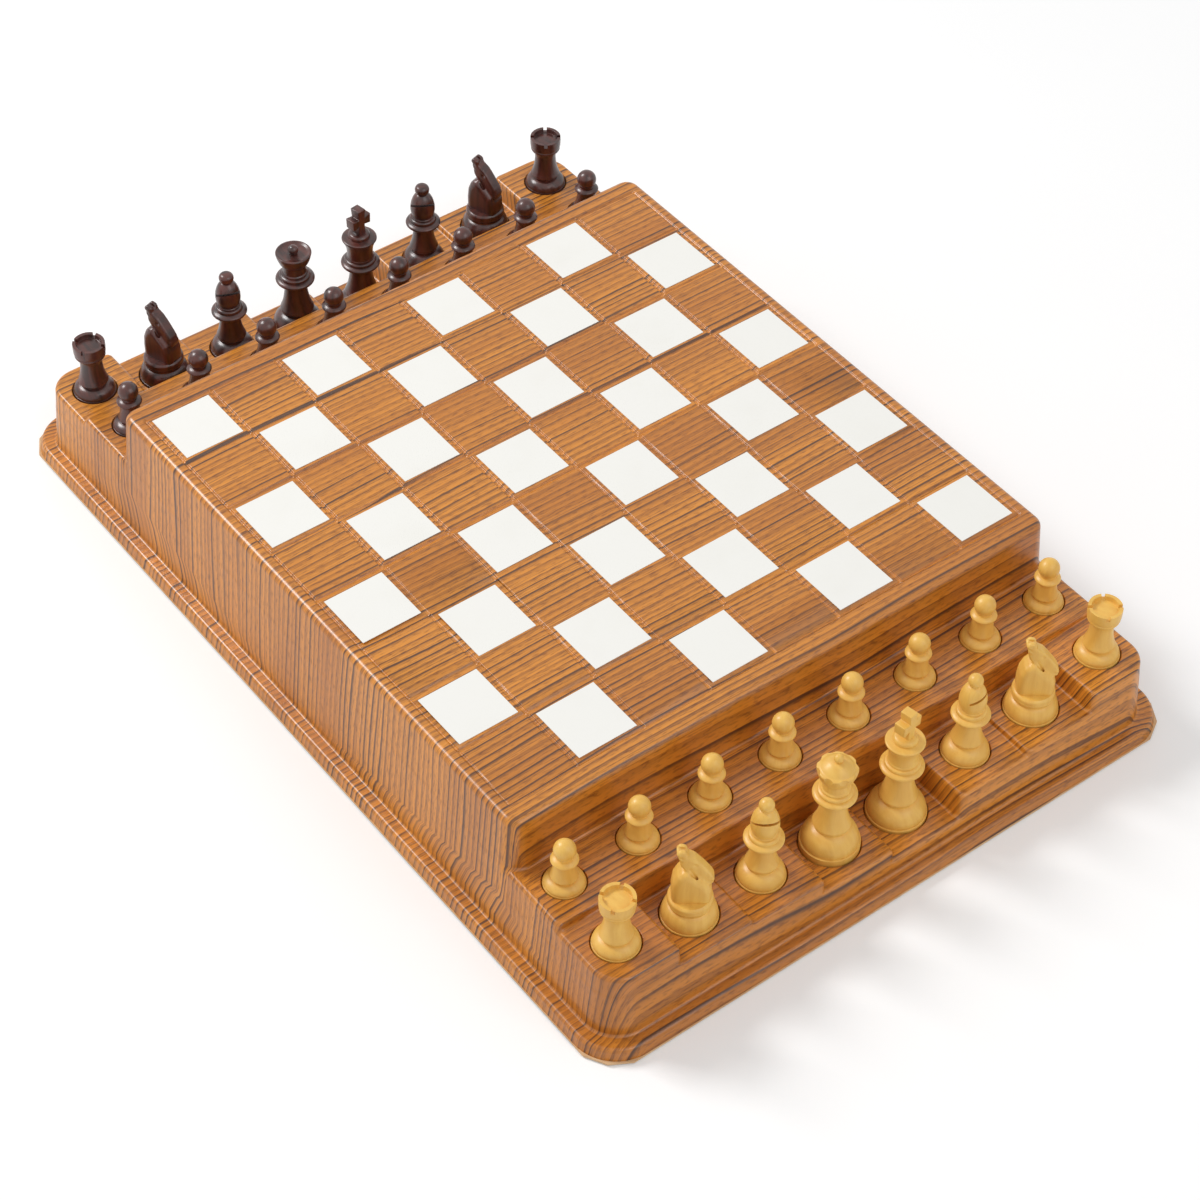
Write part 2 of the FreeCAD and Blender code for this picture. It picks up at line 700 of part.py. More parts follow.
def bishop():
    """Bishop with a slotted mitre and a ball finial."""
    mitre = BISHOP_MITRE_DIA / 2
    neck = BISHOP_NECK_DIA / 2
    ball = BISHOP_BALL_DIA / 2
    level = BISHOP_COLLAR_LEVEL
    neck_z = level + 3.8 * COLLAR_EDGE
    finial = ball_points(BISHOP_BALL_DIA, BISHOP_HEIGHT)
    points = foot_points(
        BISHOP_BASE_DIA, BISHOP_PLINTH, BISHOP_RING_DIA, BISHOP_RING_LEVEL,
        BISHOP_WAIST_DIA, level - 2 * COLLAR_EDGE
    )
    points += collar_points(BISHOP_WAIST_DIA, BISHOP_COLLAR_DIA, level, BISHOP_NECK_DIA)
    points += [
        (between(neck, mitre, DOME_OUT), between(neck_z, BISHOP_MITRE_LEVEL, 0.5), mitre, BISHOP_MITRE_LEVEL),
        (DOME_OUT * mitre, between(BISHOP_MITRE_LEVEL, finial[0][1], DOME_UP), *finial[0]),
        finial[1],
    ]
    body = turned(points)
    slot = box(-BISHOP_MITRE_DIA, BISHOP_MITRE_DIA, -BISHOP_MITRE_DIA, 0, 0, BISHOP_SLOT_WIDTH)
    slot.translate(V(0, -ball / 4, 0))
    slot.rotate(V(0, 0, 0), V(1, 0, 0), BISHOP_SLOT_TILT)
    slot.translate(V(0, 0, BISHOP_MITRE_LEVEL + ball))
    return body.cut(slot)


def queen():
    """Queen with a scalloped coronet and a small ball."""
    rim = QUEEN_CORONET_DIA / 2
    neck = QUEEN_NECK_DIA / 2
    level = QUEEN_COLLAR_LEVEL
    points = foot_points(
        QUEEN_BASE_DIA, QUEEN_PLINTH, QUEEN_RING_DIA, QUEEN_RING_LEVEL,
        QUEEN_WAIST_DIA, level - 2 * COLLAR_EDGE
    )
    points += collar_points(QUEEN_WAIST_DIA, QUEEN_COLLAR_DIA, level, QUEEN_NECK_DIA)
    ball = ball_points(QUEEN_BALL_DIA, QUEEN_HEIGHT)
    rim_z = QUEEN_CORONET_LEVEL
    flare_z = rim_z - QUEEN_CORONET_HEIGHT
    dome = neck
    points += [
        (neck, flare_z),
        (between(neck, rim, FLARE_OUT), between(flare_z, rim_z, FLARE_UP), rim, rim_z),
        (dome, rim_z - COLLAR_EDGE),
        (DOME_OUT * dome, between(rim_z, ball[0][1], DOME_UP), *ball[0]),
        ball[1],
    ]
    body = turned(points)
    scallops = []
    for index in range(QUEEN_POINTS):
        start = V(dome, 0, rim_z + QUEEN_SCALLOP_DIA / 4)
        cutter = Part.makeCylinder(QUEEN_SCALLOP_DIA / 2, rim - dome, start, V(1, 0, 0))
        cutter.rotate(V(0, 0, 0), UP, index * 360 / QUEEN_POINTS)
        scallops.append(cutter)
    return body.cut(scallops)


def king():
    """King with a flared crown and a cross."""
    crown = KING_CROWN_DIA / 2
    neck = KING_NECK_DIA / 2
    cap = KING_CAP_DIA / 2
    level = KING_COLLAR_LEVEL
    points = foot_points(
        KING_BASE_DIA, KING_PLINTH, KING_RING_DIA, KING_RING_LEVEL, KING_WAIST_DIA, level - 2 * COLLAR_EDGE
    )
    points += collar_points(KING_WAIST_DIA, KING_COLLAR_DIA, level, KING_NECK_DIA)
    rim_z = KING_CROWN_LEVEL
    flare_z = between(level, rim_z, FLARE_UP)
    cap_top = rim_z + COLLAR_EDGE + KING_CAP_HEIGHT
    points += [
        (neck, flare_z),
        (between(neck, crown, FLARE_OUT), between(flare_z, rim_z, FLARE_UP), crown, rim_z),
        (crown - COLLAR_EDGE / 2, rim_z + COLLAR_EDGE),
        (cap, rim_z + 1.6 * COLLAR_EDGE),
        (DOME_OUT * cap, cap_top - KING_CAP_HEIGHT / 3, 0, cap_top),
    ]
    wide = KING_CROSS_WIDTH / 2
    arm = KING_CROSS_ARM / 2
    waist = DOME_OUT * arm
    foot_z = cap_top - KING_CAP_HEIGHT / 2
    centre_z = KING_HEIGHT - wide
    outline = [
        (-arm, foot_z),
        (arm, foot_z),
        (waist, centre_z - waist),
        (wide, centre_z - arm),
        (wide, centre_z + arm),
        (waist, centre_z + waist),
        (arm, KING_HEIGHT),
        (-arm, KING_HEIGHT),
        (-waist, centre_z + waist),
        (-wide, centre_z + arm),
        (-wide, centre_z - arm),
        (-waist, centre_z - waist),
    ]
    cross = prism(outline, KING_CROSS_THICKNESS)
    cross.rotate(V(0, 0, 0), UP, KING_CROSS_TURN)
    return turned(points).fuse(cross)


def chess_pieces():
    """Both armies, each piece standing on the floor of its well."""
    makers = {"pawn": pawn, "rook": rook, "knight": knight, "bishop": bishop, "queen": queen, "king": king}
    forms = {kind: with_magnet(maker()) for kind, maker in makers.items()}
    pieces = {}
    for name, kind, x, y, pad_z in stations():
        piece = forms[kind].copy()
        if kind == "knight":
            piece.rotate(V(0, 0, 0), UP, WHITE_KNIGHT_TURN if name.startswith("white") else DARK_KNIGHT_TURN)
        piece.translate(V(x, y, pad_z - WELL_DEPTH))
        pieces[name] = piece
    return pieces


# Base plate and what fixes it

def screw_places():
    """Centres of the screws that hold the base plate to the posts and the shelf blocks."""
    block_y = BLOCK_FOOT_Y + PAWN_WELL_SETBACK
    places = [(x * POST_OFFSET, y * POST_OFFSET) for x in (-1, 0, 1) for y in (-1, 0, 1) if (x, y) != (0, 0)]
    places += [(x * SHELF_BLOCK_OFFSET, y * block_y) for x in (-1, 1) for y in (-1, 1)]
    return places


def screw(x, y, clearance):
    """Countersunk wood screw, or with a clearance the hole for it."""
    shank = SCREW_SHANK_DIA / 2 + clearance
    head = SCREW_HEAD_DIA / 2
    length = SCREW_LENGTH + clearance
    solid = turned([(0, 0), (head, 0), (shank, head - shank), (shank, length), (0, length)])
    solid.translate(V(x, y, BASE_BOTTOM_Z))
    return solid


def screw_holes():
    """Countersunk holes for every base screw."""
    return [screw(x, y, SCREW_CLEARANCE) for x, y in screw_places()]


def base_screws():
    """Wood screws driven from below."""
    return Part.makeCompound([screw(x, y, 0) for x, y in screw_places()])


def sound_slots():
    """Slots under the loudspeaker, each as long as the circle allows."""
    cutters = []
    radius = SPEAKER_DIA / 2 - SPEAKER_RIM_WIDTH
    for index in range(SOUND_SLOTS):
        offset = (index - (SOUND_SLOTS - 1) / 2) * SOUND_SLOT_SPACING
        half = math.sqrt(radius ** 2 - offset ** 2) - SOUND_SLOT_WIDTH
        y = SPEAKER_CENTRE_Y + offset
        cutters.append(plate(
            SPEAKER_CENTRE_X - half, SPEAKER_CENTRE_X + half,
            y - SOUND_SLOT_WIDTH / 2, y + SOUND_SLOT_WIDTH / 2,
            BASE_BOTTOM_Z, BASE_TOP_Z, SOUND_SLOT_WIDTH * 0.49,
        ))
    return cutters


def base_plate():
    """Hardboard base that closes the shell from below."""
    half_x = wall_x(FLANGE_Z, 0) + FLANGE_WIDTH - SHELL_WALL - BASE_CLEARANCE
    half_y = wall_y(FLANGE_Z, 0) + FLANGE_WIDTH - SHELL_WALL - BASE_CLEARANCE
    radius = FLANGE_CORNER_RADIUS - SHELL_WALL - BASE_CLEARANCE
    solid = plate(-half_x, half_x, -half_y, half_y, BASE_BOTTOM_Z, BASE_TOP_Z, radius)
    bay_x = CASE_INNER_X / 2
    bay_y = CASE_INNER_Y / 2
    bay = box(
        CASE_CENTRE_X - bay_x, CASE_CENTRE_X + bay_x, CASE_CENTRE_Y - bay_y, CASE_CENTRE_Y + bay_y,
        BASE_BOTTOM_Z, BASE_TOP_Z,
    )
    slot_x = (KNOB_LENGTH + SWITCH_TRAVEL) / 2 + SWITCH_CLEARANCE
    slot_y = KNOB_WIDTH / 2 + SWITCH_CLEARANCE
    slot = box(
        SWITCH_CENTRE_X - slot_x, SWITCH_CENTRE_X + slot_x,
        SWITCH_CENTRE_Y - slot_y, SWITCH_CENTRE_Y + slot_y,
        BASE_BOTTOM_Z, BASE_TOP_Z,
    )
    return solid.cut(screw_holes() + sound_slots() + [bay, slot])


def rubber_feet():
    """Six low rubber feet under the base plate."""
    half_x = wall_x(FLANGE_Z, 0) - FOOT_INSET
    half_y = wall_y(FLANGE_Z, 0) - FOOT_INSET
    radius = FOOT_DIA / 2
    feet = []
    for x in (-half_x, half_x):
        for y in (-half_y, 0, half_y):
            foot = turned([
                (0, 0),
                (radius - FOOT_CROWN, 0),
                (radius - FOOT_CROWN * 0.3, FOOT_CROWN * 0.3, radius, FOOT_CROWN),
                (radius, BASE_BOTTOM_Z),
                (0, BASE_BOTTOM_Z),
            ])
            foot.translate(V(x, y, 0))
            feet.append(foot)
    return Part.makeCompound(feet)


def support_posts():
    """Posts that hold the sensing board up against the field."""
    half = POST_SIZE / 2
    posts = []
    for x in (-1, 0, 1):
        for y in (-1, 0, 1):
            if (x, y) == (0, 0):
                continue
            post = box(-half, half, -half, half, BASE_TOP_Z, SENSOR_BOARD_Z)
            uprights = [e for e in post.Edges if e.BoundBox.ZLength > POST_SIZE]
            post = post.makeChamfer(POST_CHAMFER, uprights)
            post.translate(V(x * POST_OFFSET, y * POST_OFFSET, 0))
            posts.append(post.cut(screw(x * POST_OFFSET, y * POST_OFFSET, SCREW_CLEARANCE)))
    return Part.makeCompound(posts)


def shelf_blocks():
    """Blocks glued under the pawn shelves, which the base screws bite into."""
    half_x = SHELF_BLOCK_LENGTH / 2
    half_y = SHELF_BLOCK_WIDTH / 2
    centre_y = BLOCK_FOOT_Y + PAWN_WELL_SETBACK
    top = PAWN_SHELF_Z - WELL_DEPTH - SHELL_WALL
    blocks = []
    for x in (-SHELF_BLOCK_OFFSET, SHELF_BLOCK_OFFSET):
        for y in (-centre_y, centre_y):
            block = box(x - half_x, x + half_x, y - half_y, y + half_y, BASE_TOP_Z, top)
            blocks.append(block.cut(screw(x, y, SCREW_CLEARANCE)))
    return Part.makeCompound(blocks)


# Electronics

def sensor_board():
    """Sensing board pressed against the underside of the field."""
    half = FIELD_HALF - SENSOR_BOARD_MARGIN
    return plate(-half, half, -half, half, SENSOR_BOARD_Z, SENSOR_BOARD_TOP_Z, SENSOR_BOARD_MARGIN)


def reed_switches():
    """One glass reed switch under the middle of each square."""
    reeds = []
    z = SENSOR_BOARD_Z - REED_DIA / 2
    for file in range(FILES):
        for rank in range(FILES):
            x = (file + 0.5) * SQUARE_PITCH - FIELD_HALF - REED_LENGTH / 2
            y = (rank + 0.5) * SQUARE_PITCH - FIELD_HALF
            reeds.append(Part.makeCylinder(REED_DIA / 2, REED_LENGTH, V(x, y, z), V(1, 0, 0)))
    return Part.makeCompound(reeds)


def spacer_places():
    """Corners where the main board stands on its spacers."""
    x = MAIN_BOARD_X / 2 - SPACER_INSET
    y = MAIN_BOARD_Y / 2 - SPACER_INSET
    return [(MAIN_BOARD_CENTRE_X + sx * x, MAIN_BOARD_CENTRE_Y + sy * y) for sx in (-1, 1) for sy in (-1, 1)]


def main_board():
    """Main circuit board."""
    half_x = MAIN_BOARD_X / 2
    half_y = MAIN_BOARD_Y / 2
    return plate(
        MAIN_BOARD_CENTRE_X - half_x, MAIN_BOARD_CENTRE_X + half_x,
        MAIN_BOARD_CENTRE_Y - half_y, MAIN_BOARD_CENTRE_Y + half_y,
        MAIN_BOARD_Z, MAIN_BOARD_Z + BOARD_THICKNESS, SPACER_INSET / 3,
    )


def board_spacers():
    """Round spacers between the base plate and the main board."""
    return Part.makeCompound([disc(SPACER_DIA, BASE_TOP_Z, MAIN_BOARD_Z, x, y) for x, y in spacer_places()])


def main_chips():
    """Processor and memory packages in one row."""
    chips = []
    z = MAIN_BOARD_Z + BOARD_THICKNESS
    first_x = MAIN_BOARD_CENTRE_X - MAIN_BOARD_X / 2 + SPACER_DIA + SPACER_INSET + CHIP_WIDTH
    for index, length in enumerate(CHIP_LENGTHS):
        x = first_x + index * CHIP_SPACING
        y = MAIN_BOARD_CENTRE_Y - CONNECTOR_DEPTH
        half = CHIP_WIDTH / 2
        chip = box(x - half, x + half, y - length / 2, y + length / 2, z, z + CHIP_HEIGHT)
        long_top = [e for e in top_edges(chip, z + CHIP_HEIGHT) if e.BoundBox.YLength > CHIP_WIDTH]
        chips.append(chip.makeChamfer(CHIP_HEIGHT / 4, long_top))
    return Part.makeCompound(chips)


def ribbon_line_y():
    """Line on which the ribbon cable leaves the main board."""
    return MAIN_BOARD_CENTRE_Y + MAIN_BOARD_Y / 2 - CONNECTOR_DEPTH


def ribbon_connectors():
    """Sockets for the ribbon cable, one on each board."""
    half = RIBBON_WIDTH / 2 + SPACER_DIA / 4
    low_z = MAIN_BOARD_Z + BOARD_THICKNESS
    y = ribbon_line_y()
    depth = CONNECTOR_DEPTH / 2
    x0 = MAIN_BOARD_CENTRE_X - half
    x1 = MAIN_BOARD_CENTRE_X + half
    low = box(x0, x1, y - depth, y + depth, low_z, low_z + CONNECTOR_HEIGHT)
    high = low.copy()
    high.translate(V(0, RIBBON_JOG, SENSOR_BOARD_Z - CONNECTOR_HEIGHT - low_z))
    return Part.makeCompound([low, high])


def ribbon_cable():
    """Flat cable from the main board to the sensing board, with one easy jog."""
    bend = RIBBON_BEND
    x = MAIN_BOARD_CENTRE_X
    y0 = ribbon_line_y()
    y1 = y0 + RIBBON_JOG
    z0 = MAIN_BOARD_Z + BOARD_THICKNESS + CONNECTOR_HEIGHT
    z1 = SENSOR_BOARD_Z - CONNECTOR_HEIGHT
    middle = (z0 + z1) / 2
    lean = bend * math.sqrt(0.5)
    path = Part.Wire([
        Part.LineSegment(V(x, y0, z0), V(x, y0, middle - bend)).toShape(),
        Part.Arc(
            V(x, y0, middle - bend), V(x, y0 + bend - lean, middle - bend + lean), V(x, y0 + bend, middle)
        ).toShape(),
        Part.LineSegment(V(x, y0 + bend, middle), V(x, y1 - bend, middle)).toShape(),
        Part.Arc(
            V(x, y1 - bend, middle), V(x, y1 - bend + lean, middle + bend - lean), V(x, y1, middle + bend)
        ).toShape(),
        Part.LineSegment(V(x, y1, middle + bend), V(x, y1, z1)).toShape(),
    ])
    half_x = RIBBON_WIDTH / 2
    half_y = RIBBON_THICKNESS / 2
    corners = [V(x - half_x, y0 - half_y, z0), V(x + half_x, y0 - half_y, z0)]
    corners += [V(x + half_x, y0 + half_y, z0), V(x - half_x, y0 + half_y, z0)]
    return path.makePipeShell([Part.makePolygon(corners + corners[:1])], True, False)


def speaker_frame():
    """Pressed basket that holds the cone and the magnet."""
    outer = SPEAKER_DIA / 2
    inner = outer - SPEAKER_RIM_WIDTH
    seat = SPEAKER_MAGNET_DIA / 2
    wall = SPEAKER_WALL
    rim = SPEAKER_RIM_THICKNESS
    solid = turned([
        (inner, 0),
        (outer, 0),
        (outer, rim),
        (inner + wall, rim),
        (seat, SPEAKER_DEPTH),
        (0, SPEAKER_DEPTH),
        (0, SPEAKER_DEPTH - wall),
        (seat - wall, SPEAKER_DEPTH - wall),
        (inner, rim),
    ])
    solid.translate(V(SPEAKER_CENTRE_X, SPEAKER_CENTRE_Y, BASE_TOP_Z))
    return solid


def speaker_magnet():
    """Ring magnet behind the basket."""
    z = BASE_TOP_Z + SPEAKER_DEPTH
    return disc(SPEAKER_MAGNET_DIA, z, z + SPEAKER_MAGNET_HEIGHT, SPEAKER_CENTRE_X, SPEAKER_CENTRE_Y)


def speaker_cone():
    """Paper cone with its dust cap, seated in the basket's rim."""
    mouth = SPEAKER_DIA / 2 - SPEAKER_RIM_WIDTH
    throat = SPEAKER_MAGNET_DIA / 4
    wall = SPEAKER_CONE_WALL
    depth = SPEAKER_DEPTH / 2
    solid = turned([
        (mouth, 0),
        (mouth, wall),
        (mouth - wall, wall),
        (throat, depth + wall),
        (0, depth + wall),
        (0, depth - throat / 2),
        (throat / 2, depth - throat / 3, throat, depth),
        (mouth - 2 * wall, 0),
    ])
    solid.translate(V(SPEAKER_CENTRE_X, SPEAKER_CENTRE_Y, BASE_TOP_Z))
    return solid


def battery_case():
    """Box over the battery opening, open below."""
    inner_x = CASE_INNER_X / 2
    inner_y = CASE_INNER_Y / 2
    height = CELL_DIA + CELL_CLEARANCE
    roof = BASE_TOP_Z + height
    wall = CASE_WALL
    outer = plate(
        CASE_CENTRE_X - inner_x - wall, CASE_CENTRE_X + inner_x + wall,
        CASE_CENTRE_Y - inner_y - wall, CASE_CENTRE_Y + inner_y + wall, BASE_TOP_Z, roof + wall, wall,
    )
    inner = box(
        CASE_CENTRE_X - inner_x, CASE_CENTRE_X + inner_x, CASE_CENTRE_Y - inner_y, CASE_CENTRE_Y + inner_y,
        BASE_TOP_Z, roof,
    )
    return outer.cut(inner)


def battery_cells():
    """Round cells in two rows, nose to tail."""
    cells = []
    z = BASE_TOP_Z + CELL_DIA / 2
    step = CELL_LENGTH + CELL_TIP_LENGTH
    for row in range(CELL_ROWS):
        y = CASE_CENTRE_Y + (row - (CELL_ROWS - 1) / 2) * (CELL_DIA + CELL_CLEARANCE)
        turn = 1 if row % 2 == 0 else -1
        for index in range(CELLS_PER_ROW):
            cell = disc(CELL_DIA, 0, CELL_LENGTH).fuse(disc(CELL_TIP_DIA, CELL_LENGTH, step))
            cell.rotate(V(0, 0, 0), V(0, 1, 0), 90 * turn)
            start = -CELLS_PER_ROW * step / 2 + index * step
            cell.translate(V(CASE_CENTRE_X + turn * start, y, z))
            cells.append(cell)
    return Part.makeCompound(cells)


def battery_contacts():
    """Plate contacts at both ends of each row of cells."""
    contacts = []
    half = CELL_DIA / 4
    inner = CASE_INNER_X / 2
    for row in range(CELL_ROWS):
        y = CASE_CENTRE_Y + (row - (CELL_ROWS - 1) / 2) * (CELL_DIA + CELL_CLEARANCE)
        z = BASE_TOP_Z + CELL_DIA / 2
        for x0 in (CASE_CENTRE_X - inner, CASE_CENTRE_X + inner - CONTACT_THICKNESS):
            contacts.append(box(x0, x0 + CONTACT_THICKNESS, y - half, y + half, z - half, z + half))
    return Part.makeCompound(contacts)


def door_level():
    """Underside of the battery door."""
    return BASE_BOTTOM_Z - DOOR_THICKNESS


def battery_door():
    """Sliding door under the battery opening, with a ribbed thumb grip."""
    half_x = DOOR_X / 2
    half_y = DOOR_Y / 2
    z = door_level()
    solid = plate(
        CASE_CENTRE_X - half_x, CASE_CENTRE_X + half_x, CASE_CENTRE_Y - half_y, CASE_CENTRE_Y + half_y,
        z, BASE_BOTTOM_Z, DOOR_OVERLAP / 4,
    )
    ribs = []
    for index in range(GRIP_RIBS):
        y = CASE_CENTRE_Y + half_y - DOOR_OVERLAP - index * GRIP_RIB_SPACING
        width = CELL_DIA / 2
        ribs.append(box(
            CASE_CENTRE_X - width, CASE_CENTRE_X + width, y - GRIP_RIB_SPACING / 2, y - GRIP_RIB_SPACING / 6,
            z, z + DOOR_THICKNESS / 3,
        ))
    return solid.cut(ribs)


def door_rails():
    """Two L-shaped rails that carry the door along Y."""
    rails = []
    low = door_level() - DOOR_CLEARANCE - RAIL_LIP_THICKNESS
    half_y = DOOR_Y / 2
    for side in (-1, 1):
        edge = DOOR_X / 2 + DOOR_CLEARANCE
        section = [
            (edge, BASE_BOTTOM_Z),
            (edge + RAIL_WEB, BASE_BOTTOM_Z),
            (edge + RAIL_WEB, low),
            (edge - RAIL_LIP, low),
            (edge - RAIL_LIP, low + RAIL_LIP_THICKNESS),
            (edge, low + RAIL_LIP_THICKNESS),
        ]
        points = [V(CASE_CENTRE_X + side * x, CASE_CENTRE_Y - half_y, z) for x, z in section]
        rails.append(Part.Face(Part.makePolygon(points + points[:1])).extrude(V(0, DOOR_Y, 0)))
    return Part.makeCompound(rails)


def power_switch():
    """Slide switch housing over its slot in the base plate."""
    half_x = SWITCH_LENGTH / 2
    half_y = SWITCH_WIDTH / 2
    wall = SWITCH_WALL
    outer = box(
        SWITCH_CENTRE_X - half_x, SWITCH_CENTRE_X + half_x,
        SWITCH_CENTRE_Y - half_y, SWITCH_CENTRE_Y + half_y,
        BASE_TOP_Z, BASE_TOP_Z + SWITCH_HEIGHT,
    )
    inner = box(
        SWITCH_CENTRE_X - half_x + wall, SWITCH_CENTRE_X + half_x - wall,
        SWITCH_CENTRE_Y - half_y + wall, SWITCH_CENTRE_Y + half_y - wall,
        BASE_TOP_Z, BASE_TOP_Z + SWITCH_HEIGHT - wall,
    )
    return outer.cut(inner)


def switch_knob():
    """Sliding knob with its flat carrier, resting at the off end of its slot."""
    x = SWITCH_CENTRE_X - SWITCH_TRAVEL / 2
    half_x = KNOB_LENGTH / 2
    half_y = KNOB_WIDTH / 2
    carrier_x = (SWITCH_LENGTH - SWITCH_TRAVEL) / 2 - SWITCH_WALL - SWITCH_CLEARANCE
    carrier_y = SWITCH_WIDTH / 2 - SWITCH_WALL - SWITCH_CLEARANCE
    stem = box(
        x - half_x, x + half_x, SWITCH_CENTRE_Y - half_y, SWITCH_CENTRE_Y + half_y,
        BASE_BOTTOM_Z - KNOB_REACH, BASE_TOP_Z + SWITCH_CLEARANCE,
    )
    carrier = box(
        x - carrier_x, x + carrier_x, SWITCH_CENTRE_Y - carrier_y, SWITCH_CENTRE_Y + carrier_y,
        BASE_TOP_Z, BASE_TOP_Z + SWITCH_HEIGHT / 2,
    )
    return stem.fuse(carrier)


def main():
    """Build every piece and write one file for each."""
    os.makedirs("parts", exist_ok=True)
    pieces = {
        "top_shell": top_shell(),
        "white_squares": white_squares(),
        "base_plate": base_plate(),
        "base_screws": base_screws(),
        "rubber_feet": rubber_feet(),
        "support_posts": support_posts(),
        "shelf_blocks": shelf_blocks(),
        "sensor_board": sensor_board(),
        "reed_switches": reed_switches(),
        "main_board": main_board(),
        "main_chips": main_chips(),
        "board_spacers": board_spacers(),
        "ribbon_cable": ribbon_cable(),
        "ribbon_connectors": ribbon_connectors(),
        "speaker_frame": speaker_frame(),
        "speaker_magnet": speaker_magnet(),
        "speaker_cone": speaker_cone(),
        "battery_case": battery_case(),
        "battery_cells": battery_cells(),
        "battery_contacts": battery_contacts(),
        "battery_door": battery_door(),
        "door_rails": door_rails(),
        "power_switch": power_switch(),
        "switch_knob": switch_knob(),
    }
    pieces.update(chess_pieces())
    for name, shape in pieces.items():
        shape.exportStep("parts/" + name + ".step")
        print(name, len(shape.Solids), "solids", round(shape.Volume / 1000, 2), "cm3", shape.isValid())


main()
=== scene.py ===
import logging
import math
from dataclasses import dataclass, field
from enum import Enum
from functools import cache
from typing import Iterable, Sequence, Union

import bmesh
import bpy
import numpy as np
from mathutils import Matrix, Vector
from mathutils.geometry import delaunay_2d_cdt


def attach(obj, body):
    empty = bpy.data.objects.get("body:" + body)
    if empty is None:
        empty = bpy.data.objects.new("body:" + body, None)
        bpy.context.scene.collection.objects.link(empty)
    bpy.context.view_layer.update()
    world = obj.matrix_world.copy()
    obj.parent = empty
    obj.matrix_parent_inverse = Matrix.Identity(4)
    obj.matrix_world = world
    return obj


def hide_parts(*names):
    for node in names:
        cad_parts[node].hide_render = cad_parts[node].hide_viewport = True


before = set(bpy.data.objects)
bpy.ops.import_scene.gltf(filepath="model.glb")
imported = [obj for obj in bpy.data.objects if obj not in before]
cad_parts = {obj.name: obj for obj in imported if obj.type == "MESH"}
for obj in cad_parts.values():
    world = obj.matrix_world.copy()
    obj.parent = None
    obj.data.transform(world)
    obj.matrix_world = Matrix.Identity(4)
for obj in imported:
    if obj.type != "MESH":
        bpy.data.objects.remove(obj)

LOG = logging.getLogger("chess_board")
MM = 0.001
ROOT_BODY = "board"
RANDOM_OUTPUT = 5
ROUND_STEPS = 4
BALL_STEPS = 8
ROUND_ANGLE = math.radians(60)

Point = tuple[float, float]
Colour = tuple[float, float, float]
Shape = tuple[list, list]
Socket = bpy.types.NodeSocket
Number = Union[float, "Value"]


class Axis(Enum):
    """Names of the parts of a vector socket."""

    X = "X"
    Y = "Y"
    Z = "Z"


class Value:
    """A number in a material, which adds Math nodes when it is used in an expression."""

    def __init__(self, shader: "Shader", socket: Socket) -> None:
        """Wrap one output socket.

        Args:
            shader: the material that the socket belongs to.
            socket: the output that gives the number.
        """
        self.shader = shader
        self.socket = socket

    def math(self, operation: str, *others: Number) -> "Value":
        """Add one Math node.

        Args:
            operation: the node's operation.
            others: the further inputs.

        Returns:
            The node's result.
        """
        inputs = {0: self, **{place + 1: other for place, other in enumerate(others)}}
        return self.shader.value("ShaderNodeMath", {"operation": operation}, inputs)

    def reflected(self, operation: str, first: float) -> "Value":
        """Add one Math node whose first input is a plain number.

        Args:
            operation: the node's operation.
            first: the number on the left.

        Returns:
            The node's result.
        """
        return self.shader.value("ShaderNodeMath", {"operation": operation}, {0: first, 1: self})

    def __add__(self, other: Number) -> "Value":
        """Sum."""
        return self.math("ADD", other)

    def __radd__(self, other: float) -> "Value":
        """Sum with the number on the left."""
        return self.math("ADD", other)

    def __sub__(self, other: Number) -> "Value":
        """Difference."""
        return self.math("SUBTRACT", other)

    def __rsub__(self, other: float) -> "Value":
        """Difference with the number on the left."""
        return self.reflected("SUBTRACT", other)

    def __mul__(self, other: Number) -> "Value":
        """Product."""
        return self.math("MULTIPLY", other)

    def ramp(self, low: float, high: float) -> "Value":
        """Smooth step from 0 at low to 1 at high, falling where high is the smaller.

        Args:
            low: where the result is 0.
            high: where the result is 1.

        Returns:
            The stepped value.
        """
        settings = {"interpolation_type": "SMOOTHSTEP", "clamp": True}
        if high < low:
            return 1 - self.ramp(high, low)
        return self.shader.value("ShaderNodeMapRange", settings, {0: self, 1: low, 2: high})


